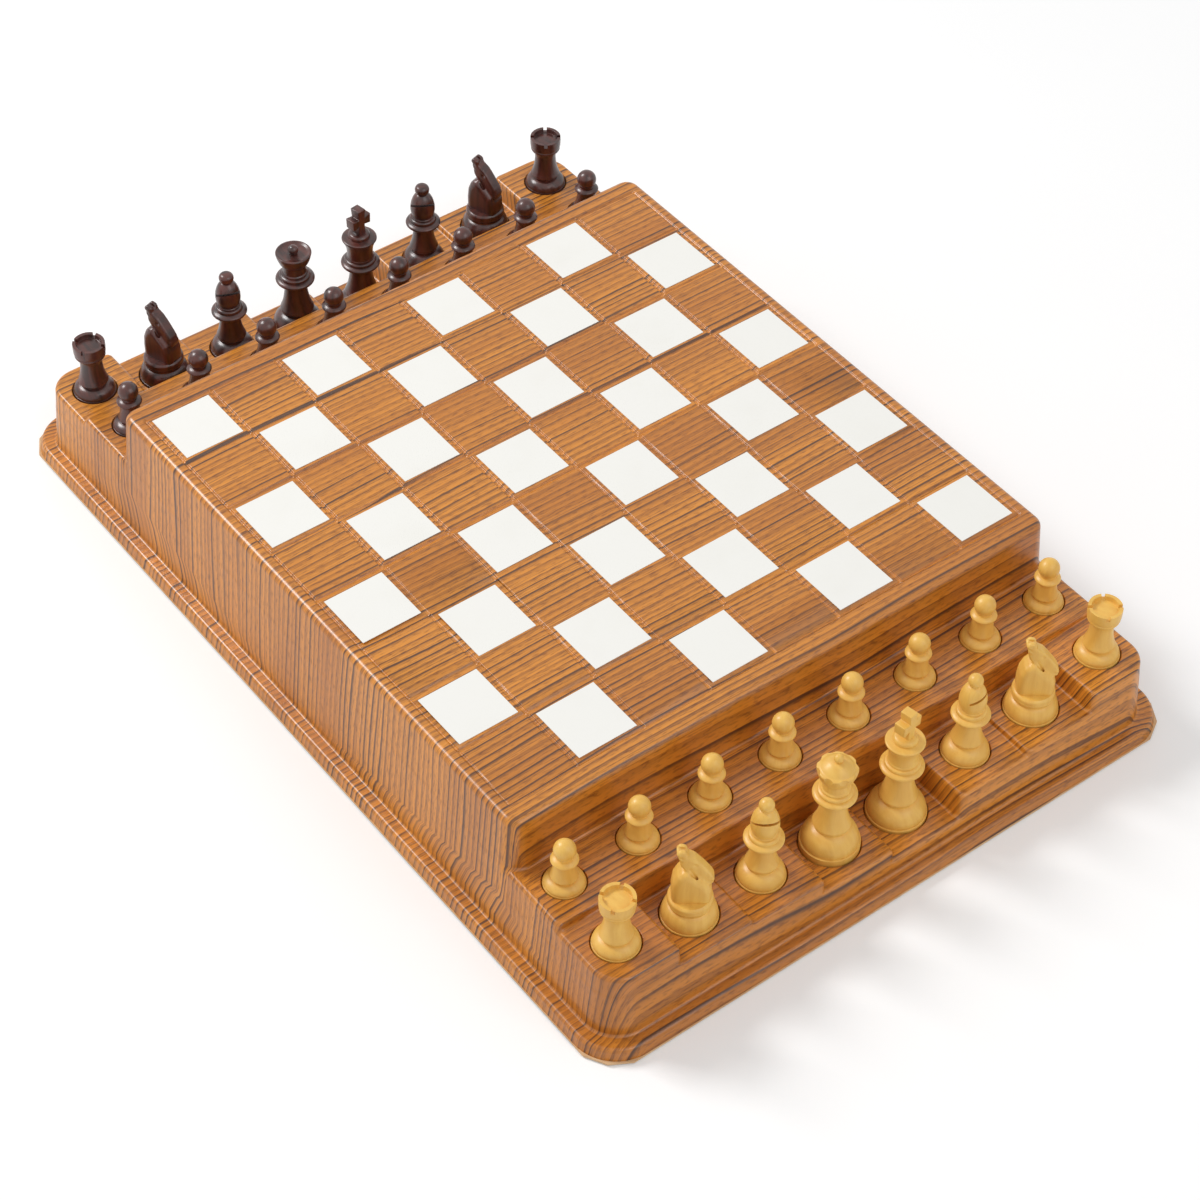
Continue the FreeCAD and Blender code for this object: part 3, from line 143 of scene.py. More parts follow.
class Shader:
    """Nodes of one material, which end in a Principled shader, or of the world."""

    def __init__(self, owner: bpy.types.Material | bpy.types.World) -> None:
        """Start with the owner's own first nodes.

        Args:
            owner: what the nodes belong to.
        """
        self.owner = owner
        owner.use_nodes = True
        self.tree = owner.node_tree
        self.surface = next((n for n in self.tree.nodes if n.type == "BSDF_PRINCIPLED"), None)

    def node(self, kind: str, settings: dict | None = None, inputs: dict | None = None) -> bpy.types.Node:
        """Add a node.

        Args:
            kind: the node's type.
            settings: attributes to set before the sockets.
            inputs: values or links by socket name or number.

        Returns:
            The node.
        """
        node = self.tree.nodes.new(kind)
        for name, setting in (settings or {}).items():
            setattr(node, name, setting)
        for name, given in (inputs or {}).items():
            self.feed(node.inputs[name], given)
        return node

    def feed(self, socket: Socket, given: object) -> None:
        """Link a socket or set its value.

        Args:
            socket: the input.
            given: a Value, an output socket, or plain numbers.
        """
        if isinstance(given, Value):
            self.tree.links.new(given.socket, socket)
        elif isinstance(given, Socket):
            self.tree.links.new(given, socket)
        elif isinstance(given, tuple) and len(given) == 3 and len(socket.default_value) == 4:
            socket.default_value = (*given, 1.0)
        else:
            socket.default_value = given

    def value(
        self, kind: str, settings: dict | None = None, inputs: dict | None = None, output: int = 0
    ) -> Value:
        """Add a node and wrap one of its outputs as a number.

        Args:
            kind: the node's type.
            settings: attributes to set before the sockets.
            inputs: values or links by socket name or number.
            output: which output to wrap.

        Returns:
            The wrapped output.
        """
        return Value(self, self.node(kind, settings, inputs).outputs[output])

    def local(self) -> Socket:
        """Coordinates of the piece itself, which move with it."""
        return self.node("ShaderNodeTexCoord").outputs["Object"]

    def attribute(self, name: str) -> Socket:
        """Vector stored on the mesh under a name."""
        return self.node("ShaderNodeAttribute", {"attribute_name": name}).outputs["Vector"]

    def part(self, vector: Socket, axis: Axis) -> Value:
        """One number of a vector.

        Args:
            vector: the vector's socket.
            axis: which number.

        Returns:
            That number.
        """
        return Value(self, self.node("ShaderNodeSeparateXYZ", None, {0: vector}).outputs[axis.value])

    def vector(self, x: Number, y: Number, z: Number) -> Socket:
        """Vector from three numbers."""
        return self.node("ShaderNodeCombineXYZ", None, {0: x, 1: y, 2: z}).outputs[0]

    def stretched(self, vector: Socket, scale: tuple[float, float, float]) -> Socket:
        """Vector multiplied part by part."""
        return self.node("ShaderNodeVectorMath", {"operation": "MULTIPLY"}, {0: vector, 1: scale}).outputs[0]

    def shifted(self, vector: Socket, other: Socket) -> Socket:
        """Sum of two vectors."""
        return self.node("ShaderNodeVectorMath", {"operation": "ADD"}, {0: vector, 1: other}).outputs[0]

    def noise(self, vector: Socket, scale: float, detail: float = 2.0, rough: float = 0.5) -> Value:
        """Cloudy noise from 0 to 1.

        Args:
            vector: where it is read.
            scale: features per metre.
            detail: layers of finer noise.
            rough: strength of the finer layers.

        Returns:
            The noise.
        """
        inputs = {"Vector": vector, "Scale": scale, "Detail": detail, "Roughness": rough}
        return self.value("ShaderNodeTexNoise", None, inputs)

    def mixed(self, share: Number, first: object, second: object) -> Socket:
        """Colour between two.

        Args:
            share: 0 for the first and 1 for the second.
            first: a colour or its socket.
            second: a colour or its socket.

        Returns:
            The mixed colour.
        """
        node = self.node("ShaderNodeMix", {"data_type": "RGBA"})
        self.feed(node.inputs[0], share)
        self.feed(node.inputs[6], first)
        self.feed(node.inputs[7], second)
        return node.outputs[2]

    def bump(self, height: Value, distance: float, strength: float = 1.0) -> Socket:
        """Normal from a height.

        Args:
            height: the height from 0 to 1.
            distance: how far 1 stands up, in metres.
            strength: share of the effect.

        Returns:
            The normal.
        """
        inputs = {"Height": height, "Distance": distance, "Strength": strength}
        return self.node("ShaderNodeBump", None, inputs).outputs[0]

    def finish(self, **inputs: object) -> bpy.types.Material:
        """Set the Principled shader's sockets, with _ for a space in their names.

        Args:
            inputs: values or links.

        Returns:
            The finished material.
        """
        for name, given in inputs.items():
            self.feed(self.surface.inputs[name.replace("_", " ")], given)
        return self.owner


@dataclass(frozen=True)
class GrainedSheet:
    """Satin plastic sheet with a printed wood grain that runs across the board."""

    name: str = "grained_sheet"
    pale: Colour = (0.74, 0.278, 0.031)
    middle: Colour = (0.56, 0.190, 0.020)
    streak: Colour = (0.070, 0.028, 0.013)
    shade: Colour = (0.25, 0.078, 0.010)
    roughness: float = 0.29
    rings: float = 250.0
    hairs: float = 720.0
    drift_scale: tuple = (3.2, 9.0, 1.0)
    sway_scale: tuple = (9.0, 60.0, 1.0)
    broad_scale: tuple = (2.0, 24.0, 1.0)
    dash_scale: tuple = (170.0, 1300.0, 1.0)
    grit_scale: tuple = (1400.0, 2400.0, 1.0)
    spread_scale: float = 70.0
    ring_bends: tuple = (4.0, 0.9, 1.7)
    hair_bends: tuple = (11.0, 2.6, 4.0)
    ring_step: float = 7.31
    relief: float = 0.00005
    reflection: float = 0.62

    def material(self) -> bpy.types.Material:
        """Make the material.

        Returns:
            The material, which reads the mesh's drape coordinates.
        """
        s = Shader(bpy.data.materials.new(self.name))
        drape = s.attribute("drape")
        across = s.part(drape, Axis.Y)
        along = s.part(drape, Axis.X)
        drift = s.noise(s.stretched(drape, self.drift_scale), 1.0, 1.0)
        sway = s.noise(s.stretched(drape, self.sway_scale), 1.0, 1.0)
        broad = s.noise(s.stretched(drape, self.broad_scale), 1.0, 2.0, 0.55)
        spread = s.noise(s.vector(0.0, across * self.spread_scale, 0.0), 1.0, 2.0)
        ring = self.bent(across * self.rings, (drift, sway, spread), self.ring_bends)
        hair = self.bent(across * self.hairs, (drift, sway, spread), self.hair_bends)
        dark = self.lines(s, ring, along, 2.6, 0.42, 0.64)
        thin = self.lines(s, hair, along, 5.0, 0.42, 0.68)
        within = ring.math("FRACT")
        halo = within.ramp(0.15, 0.95) * (1 - within.ramp(0.96, 1.0)) * 0.55
        dashes = s.noise(s.stretched(drape, self.dash_scale), 1.0, 2.0)
        dash = dashes.ramp(0.48, 0.70) * 0.55
        tone = s.mixed(broad.ramp(0.34, 0.66), self.pale, self.middle)
        tone = s.mixed((halo + dash).math("MINIMUM", 1.0), tone, self.shade)
        tone = s.mixed((dark * 0.98 + thin * 0.50).math("MINIMUM", 0.94), tone, self.streak)
        grit = s.noise(s.stretched(drape, self.grit_scale), 1.0, 2.0)
        normal = s.bump(grit * 0.8 + dashes * 0.2, self.relief, 0.45)
        gloss = self.roughness + (dashes - 0.5) * 0.05 + dark * 0.04
        return s.finish(Base_Color=tone, Roughness=gloss, Normal=normal, Specular_IOR_Level=self.reflection)

    @staticmethod
    def bent(start: Value, bends: Sequence[Value], shares: Sequence[float]) -> Value:
        """Bend straight rings.

        Args:
            start: which ring a place is in while the rings are straight.
            bends: the noises that bend them.
            shares: how much of each, in rings.

        Returns:
            Which ring the place is in after that.
        """
        for bend, share in zip(bends, shares):
            start = start + bend * share
        return start

    def lines(self, s: Shader, ring: Value, along: Value, pace: float, low: float, high: float) -> Value:
        """Dark line at the end of every ring, each with a strength of its own along its length.

        Args:
            s: the material.
            ring: which ring a place is in, with the share of the way across it.
            along: place along the grain.
            pace: changes of strength per metre.
            low: noise where a line has no strength.
            high: noise where a line is full.

        Returns:
            The lines' strength.
        """
        share = ring.math("FRACT")
        core = share.ramp(0.60, 0.88) * (1 - share.ramp(0.91, 1.0))
        own = s.noise(s.vector(along * pace, ring.math("FLOOR") * self.ring_step, 0.0), 1.0, 1.0)
        return core * own.ramp(low, high)


@dataclass(frozen=True)
class WhiteTile:
    """Off-white satin tile with faint handling marks."""

    name: str = "white_tile"
    colour: Colour = (0.905, 0.895, 0.852)
    dusty: Colour = (0.86, 0.845, 0.79)
    roughness: float = 0.34
    cloud_scale: float = 40.0
    speck_scale: float = 2600.0
    relief: float = 0.00002

    def material(self) -> bpy.types.Material:
        """Make the material.

        Returns:
            The material.
        """
        s = Shader(bpy.data.materials.new(self.name))
        place = s.local()
        cloud = s.noise(place, self.cloud_scale, 3.0)
        speck = s.noise(place, self.speck_scale, 2.0)
        tone = s.mixed(cloud.ramp(0.45, 0.85) * 0.5, self.colour, self.dusty)
        normal = s.bump(speck, self.relief, 0.4)
        return s.finish(Base_Color=tone, Roughness=self.roughness + cloud * 0.12, Normal=normal)


@dataclass(frozen=True)
class TurnedWood:
    """Varnished wood of the turned pieces, with grain along the axis."""

    name: str
    pale: Colour
    deep: Colour
    pore: Colour
    roughness: float
    coat: float
    pore_share: float
    coat_roughness: float = 0.22
    wander_scale: float = 70.0
    cloud_scale: float = 55.0
    ring_scale: tuple = (330.0, 120.0, 28.0)
    pore_scale: tuple = (1500.0, 1500.0, 90.0)
    tool_scale: tuple = (40.0, 40.0, 2400.0)
    relief: float = 0.00004

    def material(self) -> bpy.types.Material:
        """Make the material.

        Returns:
            The material.
        """
        s = Shader(bpy.data.materials.new(self.name))
        chance = s.value("ShaderNodeObjectInfo", None, None, RANDOM_OUTPUT)
        place = s.shifted(s.local(), s.vector(chance * 0.7, chance * 0.3, chance * 1.1))
        wander = s.noise(place, self.wander_scale, 2.0)
        bent = s.shifted(place, s.vector((wander - 0.5) * 0.004, (wander - 0.5) * 0.003, 0.0))
        rings = s.noise(s.stretched(bent, self.ring_scale), 1.0, 3.0, 0.55)
        fine = s.noise(s.stretched(bent, self.pore_scale), 1.0, 2.0)
        cloud = s.noise(place, self.cloud_scale, 2.0)
        pores = fine.ramp(0.60, 0.72) * self.pore_share
        tone = s.mixed(rings.ramp(0.32, 0.70), self.pale, self.deep)
        tone = s.mixed(cloud.ramp(0.40, 0.75) * 0.35, tone, self.deep)
        tone = s.mixed(pores, tone, self.pore)
        tools = s.noise(s.stretched(place, self.tool_scale), 1.0, 1.0)
        normal = s.bump(tools * 0.5 + fine * 0.5, self.relief, 0.5)
        gloss = self.roughness + (cloud - 0.5) * 0.14
        return s.finish(
            Base_Color=tone, Roughness=gloss, Normal=normal, Coat_Weight=self.coat,
            Coat_Roughness=self.coat_roughness,
        )


@dataclass(frozen=True)
class PlainFinish:
    """A finish with a mottled tone and a fine surface texture."""

    name: str
    colour: Colour
    second: Colour
    roughness: float
    patch: float = 90.0
    texture: float = 1800.0
    relief: float = 0.00004
    metallic: float = 0.0
    stretch: tuple[float, float, float] = (1.0, 1.0, 1.0)

    def material(self) -> bpy.types.Material:
        """Make the material.

        Returns:
            The material.
        """
        s = Shader(bpy.data.materials.new(self.name))
        place = s.stretched(s.local(), self.stretch)
        cloud = s.noise(place, self.patch, 3.0)
        grit = s.noise(place, self.texture, 2.0)
        tone = s.mixed((cloud * 0.7 + grit * 0.3).ramp(0.35, 0.68), self.colour, self.second)
        normal = s.bump(grit, self.relief, 0.7)
        gloss = self.roughness + (cloud - 0.5) * 0.16
        return s.finish(Base_Color=tone, Roughness=gloss, Normal=normal, Metallic=self.metallic)


def new_piece(
    name: str, vertices: Sequence, faces: Sequence, body: str, material: bpy.types.Material
) -> bpy.types.Object:
    """Make a mesh object that rides on a body.

    Args:
        name: the piece's name.
        vertices: corners in metres.
        faces: corner numbers of each face.
        body: the body that it moves with.
        material: its finish.

    Returns:
        The object.
    """
    mesh = bpy.data.meshes.new(name)
    mesh.from_pydata(vertices, [], faces)
    mesh.materials.append(material)
    piece = bpy.data.objects.new(name, mesh)
    bpy.context.scene.collection.objects.link(piece)
    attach(piece, body)
    return piece


@dataclass
class FormedShell:
    """Formed sheet with the field block, the storage steps and the rim, as one draped surface.

    All sizes are in millimetres. The form is a height over the plan: blocks with drafted walls rise from the
    rim one after another, each with a rounded top edge and a cove at its foot.
    """

    wall: float = 2.5
    draft: float = math.radians(5.2)
    files: int = 8
    square: float = 38.1
    groove_half: float = 1.4
    groove_floor: float = 0.5
    groove_depth: float = 0.8
    groove_steps: int = 4
    nub_radius: float = 0.55
    nub_height: float = 0.6
    nub_rings: tuple = (0.3, 0.7, 1.1)
    nub_steps: int = 10
    bottom_z: float = 0.8
    flange_z: float = 7.8
    top_z: float = 77.0
    margin_x: float = 6.5
    margin_y: float = 11.6
    block_radius: float = 7.0
    block_edge: float = 3.8
    flange_width: float = 7.0
    flange_radius: float = 22.0
    flange_edge: float = 2.2
    skirt_flare: float = 1.3
    foot_cove: float = 1.6
    station: float = 41.2
    shelf_depth: float = 34.7
    pad_depth: float = 38.9
    pawn_setback: float = 16.0
    back_setback: float = 18.9
    shelf_drop: float = 29.2
    pad_drops: tuple = (33.0, 44.3, 47.2, 55.1, 61.3, 47.2, 44.3, 33.0)
    well_dias: tuple = (23.0, 27.4, 24.2, 29.4, 29.9, 24.2, 27.4, 23.0)
    pawn_well_dia: float = 20.5
    well_depth: float = 2.0
    well_rim: float = 0.5
    well_cove: float = 0.6
    tray_radius: float = 14.6
    step_radius: float = 3.2
    step_edge: float = 2.2
    step_cove: float = 1.8
    arc_steps: int = 5
    corner_steps: int = 14
    well_steps: int = 56
    stretch: float = 0.32
    lap: float = 4.0
    seam: float = 1.0
    safe: float = 3.0
    slope_step: float = 0.004
    tiny: float = 1e-6
    lines: list = field(default_factory=list)

    def __post_init__(self) -> None:
        """Work out the levels and edges that follow from the sizes."""
        self.slope = math.tan(self.draft)
        self.sine = math.sin(self.draft)
        self.cosine = math.cos(self.draft)
        self.field_half = self.files * self.square / 2
        self.shelf_z = self.top_z - self.shelf_drop
        self.block_y = self.field_half + self.margin_y
        self.block_foot_y = self.block_y + self.slope * self.shelf_drop
        self.shelf_y = self.block_foot_y + self.shelf_depth
        self.wall_y_at_top = self.shelf_y + self.pad_depth - self.slope * self.shelf_drop
        self.wall_x_at_top = self.field_half + self.margin_x
        self.pad_z = [self.top_z - drop for drop in self.pad_drops]

    def wall_x(self, z: float) -> float:
        """Half width of the long walls at a level."""
        return self.wall_x_at_top + self.slope * (self.top_z - z)

    def wall_y(self, z: float) -> float:
        """Half length of the end walls at a level."""
        return self.wall_y_at_top + self.slope * (self.top_z - z)

    def corner_radius(self, z: float) -> float:
        """Plan radius of the tray's outer corners at a level."""
        return self.tray_radius + self.slope * (self.pad_z[0] - z)

    @staticmethod
    def inside(x: np.ndarray, y: np.ndarray, box: tuple, left: float, right: float) -> np.ndarray:
        """Distance inside a rectangle that is rounded at its outer end.

        Args:
            x: places across the board.
            y: places along it, from the middle outwards.
            box: lowest and highest x, and the outer y.
            left: radius of the corner at the lowest x.
            right: radius of the corner at the highest x.

        Returns:
            Distances, positive inside.
        """
        x0, x1, outer = box
        middle = (x0 + x1) / 2
        radius = np.where(x < middle, left, right)
        across = np.abs(x - middle) - (x1 - x0) / 2 + radius
        along = y - outer + radius
        out = np.hypot(np.maximum(across, 0), np.maximum(along, 0)) + np.minimum(np.maximum(across, along), 0)
        return radius - out

    def raised(
        self, base: np.ndarray, top: float, inside: np.ndarray, edge: float, cove: float, floor: np.ndarray
    ) -> np.ndarray:
        """Height after a drafted block has risen from a surface.

        Args:
            base: heights of the surface.
            top: the block's level.
            inside: distance inside the block's top outline.
            edge: radius of its top edge.
            cove: radius at its foot.
            floor: level that the foot stands on.

        Returns:
            The new heights.
        """
        room = np.maximum(top - floor, self.tiny)
        fit = np.minimum(1.0, room / ((1 - self.sine) * (edge + cove)))
        round_top = edge * fit
        fade = np.clip((base - floor + self.lap) / (self.lap / 2), 0, 1)
        round_foot = np.maximum(cove * fit * fade, self.tiny)
        start = round_top * (1 - self.sine) / self.cosine
        end = start - round_top * self.cosine
        arc = top - round_top + np.sqrt(np.maximum(round_top ** 2 - (inside - start) ** 2, 0))
        high = np.where(inside >= start, top, np.where(inside >= end, arc, top + inside / self.slope))
        reach = round_foot * math.tan((math.pi / 2 - self.draft) / 2)
        foot = -(top - base) * self.slope
        run = inside - foot + reach
        hollow = base + round_foot - np.sqrt(np.maximum(round_foot ** 2 - run ** 2, 0))
        low = np.where(run < 0, base, np.where(inside < foot + reach * self.sine, hollow, high))
        return np.where(top > base, np.maximum(low, base), base)

    def steps(self) -> list[tuple]:
        """Blocks of the trays from the lowest up.

        Returns:
            For each: station, level, outline, left radius, right radius and the level of its floor.
        """
        lowest = self.pad_z.index(min(self.pad_z))
        blocks = []
        for index, z in enumerate(self.pad_z):
            edge = (index - self.files / 2) * self.station
            outer = self.corner_radius(z)
            left = -self.wall_x(z) if index <= lowest else edge
            right = self.wall_x(z) if index >= lowest else edge + self.station
            if index == lowest:
                floor = self.flange_z
            else:
                floor = self.pad_z[index + 1] if index < lowest else self.pad_z[index - 1]
            left_radius = outer if index <= lowest else self.step_radius
            right_radius = outer if index >= lowest else self.step_radius
            blocks.append((index, z, (left, right, self.wall_y(z)), left_radius, right_radius, floor))
        return sorted(blocks, key=lambda block: block[1])

    def shelf_outline(self) -> tuple:
        """Outline of the pawn shelf."""
        half = self.wall_x(self.shelf_z)
        return (-half, half, self.shelf_y)

    def block_outline(self) -> tuple:
        """Outline of the field block's top."""
        return (-self.wall_x_at_top, self.wall_x_at_top, self.block_y)

    def flange_outline(self) -> tuple:
        """Outline of the rim plate's top."""
        half = self.wall_x(self.flange_z) + self.flange_width
        return (-half, half, self.wall_y(self.flange_z) + self.flange_width)

    def trays(self, x: np.ndarray, y: np.ndarray) -> np.ndarray:
        """Heights of the trays' pads with their outer walls, over the rim.

        Args:
            x: places across the board.
            y: places along it, from the middle outwards.

        Returns:
            The heights.
        """
        z = np.full_like(x, self.flange_z)
        for _, top, box, left, right, floor in self.steps():
            cove = self.foot_cove if floor == self.flange_z else self.step_cove
            inside = self.inside(x, y, box, left, right)
            z = self.raised(z, top, inside, self.step_edge, cove, np.full_like(x, floor))
        return z

    def pad_profile(self, x: np.ndarray) -> np.ndarray:
        """Level of the pads across the board."""
        place = np.clip(np.floor(x / self.station + self.files / 2), 0, self.files - 1).astype(int)
        return np.array(self.pad_z)[place]

    def groove(self, offset: np.ndarray) -> np.ndarray:
        """Share of the groove's depth at a distance from its middle."""
        run = np.clip((np.abs(offset) - self.groove_floor) / (self.groove_half - self.groove_floor), 0, 1)
        return 0.5 + 0.5 * np.cos(math.pi * run)

    def height(self, x: np.ndarray, y: np.ndarray) -> np.ndarray:
        """Height of the whole form over the plan.

        Args:
            x: places across the board.
            y: places along it.

        Returns:
            Heights in millimetres.
        """
        far = np.abs(y)
        z = self.trays(x, far)
        shelf = self.inside(x, far, self.shelf_outline(), self.step_radius, self.step_radius)
        z = self.raised(z, self.shelf_z, shelf, self.step_edge, self.step_cove, self.pad_profile(x))
        block = self.inside(x, far, self.block_outline(), self.block_radius, self.block_radius)
        floor = np.full_like(x, self.shelf_z)
        z = self.raised(z, self.top_z, block, self.block_edge, self.step_cove, floor)
        rim = self.inside(x, far, self.flange_outline(), self.flange_radius, self.flange_radius)
        z = np.minimum(z, self.rim_height(rim))
        for cx, cy, radius, pad in self.wells():
            depth = radius - np.hypot(x - cx, y - cy)
            near = depth > -3 * self.well_rim
            floor = self.well_depth - pad
            z[near] = -self.raised(-z[near], floor, depth[near], self.well_cove, self.well_rim, -pad)
        across = self.groove(np.mod(x + self.square / 2, self.square) - self.square / 2)
        along = self.groove(np.mod(y + self.square / 2, self.square) - self.square / 2)
        outside = np.maximum(np.maximum(np.abs(x), far) - self.field_half, 0)
        z = z - self.groove_depth * np.maximum(across, along) * self.groove(outside + self.groove_floor)
        near_x = np.round(x / self.square) * self.square
        near_y = np.round(y / self.square) * self.square
        gap = np.hypot(x - near_x, y - near_y)
        inner = (np.abs(near_x) <= self.field_half) & (np.abs(near_y) <= self.field_half)
        return z + np.where(inner, self.nub_height * np.exp(-((gap / self.nub_radius) ** 2)), 0.0)

    def rim_height(self, inside: np.ndarray) -> np.ndarray:
        """Height of the rim's rounded edge and skirt.

        Args:
            inside: distances inside the rim's outline.

        Returns:
            The heights, without limit on the rim's flat top.
        """
        radius = self.flange_edge
        outward = np.minimum(inside - radius, 0)
        arc = self.flange_z - radius + np.sqrt(np.maximum(radius ** 2 - outward ** 2, 0))
        rise = (self.flange_z - self.bottom_z - radius) / self.skirt_flare
        skirt = self.flange_z - radius + inside * rise
        return np.where(inside >= radius, np.inf, np.where(inside >= 0, arc, skirt))

    def wells(self) -> list[tuple]:
        """Places of the wells.

        Returns:
            Centre, radius and pad level of every well.
        """
        places = []
        for side in (-1, 1):
            for index in range(self.files):
                x = (index + 0.5 - self.files / 2) * self.station
                back_y = side * (self.shelf_y + self.back_setback)
                pawn_y = side * (self.block_foot_y + self.pawn_setback)
                places.append((x, back_y, self.well_dias[index] / 2, self.pad_z[index]))
                places.append((x, pawn_y, self.pawn_well_dia / 2, self.shelf_z))
        return places

    def arc_offsets(self, edge: float) -> list[float]:
        """Distances inside an outline where its rounded top edge is sampled.

        Args:
            edge: radius of the edge.

        Returns:
            The distances, from the flat outwards.
        """
        start = edge * (1 - self.sine) / self.cosine
        turn = math.pi / 2 - self.draft
        return [start - edge * math.sin(turn * n / self.arc_steps) for n in range(self.arc_steps + 1)]

    def foot_offsets(self, drop: float, cove: float) -> list[float]:
        """Distances inside an outline where the cove at its foot is sampled.

        Args:
            drop: height of the wall.
            cove: radius of the cove.

        Returns:
            The distances, from the floor inwards.
        """
        turn = math.pi / 2 - self.draft
        start = -drop * self.slope - cove * math.tan(turn / 2)
        return [start + cove * math.sin(turn * n / self.arc_steps) for n in range(self.arc_steps + 1)]

    def fitted(self, drop: float, edge: float, cove: float) -> tuple[float, float]:
        """Edge and cove radii as small as a low step needs."""
        fit = min(1.0, drop / ((1 - self.sine) * (edge + cove)))
        return edge * fit, cove * fit

    def outline(self, box: tuple, left: float, right: float, inset: float, start: float) -> list[Point]:
        """Points of an outline moved inwards, from the low x side round the outer end to the high x side.

        Args:
            box: lowest and highest x, and the outer y.
            left: radius of the corner at the lowest x.
            right: radius of the corner at the highest x.
            inset: distance inwards.
            start: y where the outline starts and ends.

        Returns:
            The points.
        """
        x0, x1, outer = box
        points = [(x0 + inset, start)]
        for centre_x, radius, first in ((x0 + left, left, math.pi), (x1 - right, right, math.pi / 2)):
            reach = max(radius - inset, 0.0)
            shift = max(inset - radius, 0.0)
            count = self.corner_steps if reach > self.step_radius * 2 else self.corner_steps // 2
            for n in range(count + 1):
                angle = first - math.pi / 2 * n / count
                side = -1 if first == math.pi else 1
                points.append((centre_x - side * shift + reach * math.cos(angle),
                               outer - radius - shift + reach * math.sin(angle)))
        points.append((x1 - inset, start))
        return points

    def add_line(self, points: list[Point], low: float, high: float) -> None:
        """Keep the stretches of a line that lie between two x values, at both ends of the board.

        Args:
            points: the line.
            low: lowest x to keep.
            high: highest x to keep.
        """
        for (xa, ya), (xb, yb) in zip(points, points[1:]):
            if max(xa, xb) < low or min(xa, xb) > high or (xa, ya) == (xb, yb):
                continue
            ends = []
            for x, y, ox, oy in ((xa, ya, xb, yb), (xb, yb, xa, ya)):
                limit = min(max(x, low), high)
                share = 0.0 if limit == x else (limit - x) / (ox - x)
                ends.append((x + share * (ox - x), y + share * (oy - y)))
            for side in (-1, 1):
                self.lines.append([(x, side * y) for x, y in ends])

    def draw_steps(self) -> None:
        """Lines of the pads' edges, step walls and feet."""
        hidden = self.shelf_y - self.lap
        for index, z, box, left, right, floor in self.steps():
            low = (index - self.files / 2) * self.station
            high = low + self.station
            cove = self.foot_cove if floor == self.flange_z else self.step_cove
            edge, cove = self.fitted(z - floor, self.step_edge, cove)
            low = -np.inf if index == 0 else low - self.lap
            high = np.inf if index == self.files - 1 else high + self.lap
            for inset in self.arc_offsets(edge):
                self.add_line(self.outline(box, left, right, inset, hidden), low, high)
            if floor != self.flange_z:
                for inset in self.foot_offsets(z - floor, cove):
                    self.add_line(self.outline(box, left, right, inset, hidden), low, high)
        half = self.wall_x(self.flange_z)
        foot = (-half, half, self.wall_y(self.flange_z))
        radius = self.corner_radius(self.flange_z)
        for inset in self.foot_offsets(0.0, self.foot_cove):
            self.add_line(self.outline(foot, radius, radius, inset, 0.0), -np.inf, np.inf)

    def draw_shelves(self) -> None:
        """Lines of the pawn shelves and of the field block."""
        shelf = self.shelf_outline()
        small = self.step_radius
        for inset in self.arc_offsets(self.step_edge):
            self.add_line(self.outline(shelf, small, small, inset, self.block_y), -np.inf, np.inf)
        for index, z in enumerate(self.pad_z):
            low = (index - self.files / 2) * self.station
            edge, cove = self.fitted(self.shelf_z - z, self.step_edge, self.step_cove)
            for inset in self.foot_offsets(self.shelf_z - z, cove) + self.arc_offsets(edge):
                line = self.outline(shelf, small, small, inset, self.block_y)
                self.add_line(line, low - self.seam, low + self.station + self.seam)
        block = self.block_outline()
        for inset in self.arc_offsets(self.block_edge) + self.foot_offsets(self.shelf_drop, self.step_cove):
            line = self.outline(block, self.block_radius, self.block_radius, inset, 0.0)
            self.add_line(line, -np.inf, np.inf)

    def draw_rim(self) -> None:
        """Lines of the rim's edge and skirt."""
        turns = [math.pi / 2 * n / self.arc_steps for n in range(self.arc_steps + 1)]
        insets = [self.flange_edge * (1 - math.sin(turn)) for turn in turns]
        radius = self.flange_radius
        for inset in insets + [-self.skirt_flare]:
            line = self.outline(self.flange_outline(), radius, radius, inset, 0.0)
            self.add_line(line, -np.inf, np.inf)

    def draw_grooves(self) -> None:
        """Lines of the grooves that part the squares."""
        span = self.groove_half - self.groove_floor
        offsets = [self.groove_floor + span * n / self.groove_steps for n in range(self.groove_steps + 1)]
        end = self.field_half + self.groove_half
        for line in range(self.files + 1):
            middle = line * self.square - self.field_half
            for offset in offsets:
                for side in (-1, 1):
                    place = middle + side * offset
                    self.lines.append([(place, -end), (place, end)])
                    self.lines.append([(-end, place), (end, place)])
        for column in range(self.files + 1):
            for row in range(self.files + 1):
                cx = column * self.square - self.field_half
                cy = row * self.square - self.field_half
                for radius in self.nub_rings:
                    self.add_ring(cx, cy, radius, self.nub_steps)

    def add_ring(self, cx: float, cy: float, radius: float, sides: int) -> None:
        """Add a circle to the lines.

        Args:
            cx: its middle across the board.
            cy: its middle along the board.
            radius: its radius.
            sides: short lines round it.
        """
        turns = [2 * math.pi * n / sides for n in range(sides + 1)]
        ring = [(cx + radius * math.cos(turn), cy + radius * math.sin(turn)) for turn in turns]
        self.lines += [[a, b] for a, b in zip(ring, ring[1:])]

    def draw_wells(self) -> None:
        """Circles of the wells' rims, walls and floors."""
        edge, cove = self.fitted(self.well_depth, self.well_cove, self.well_rim)
        insets = self.arc_offsets(edge) + self.foot_offsets(self.well_depth, cove)
        for cx, cy, radius, _ in self.wells():
            for inset in insets:
                self.add_ring(cx, cy, radius - inset, self.well_steps)

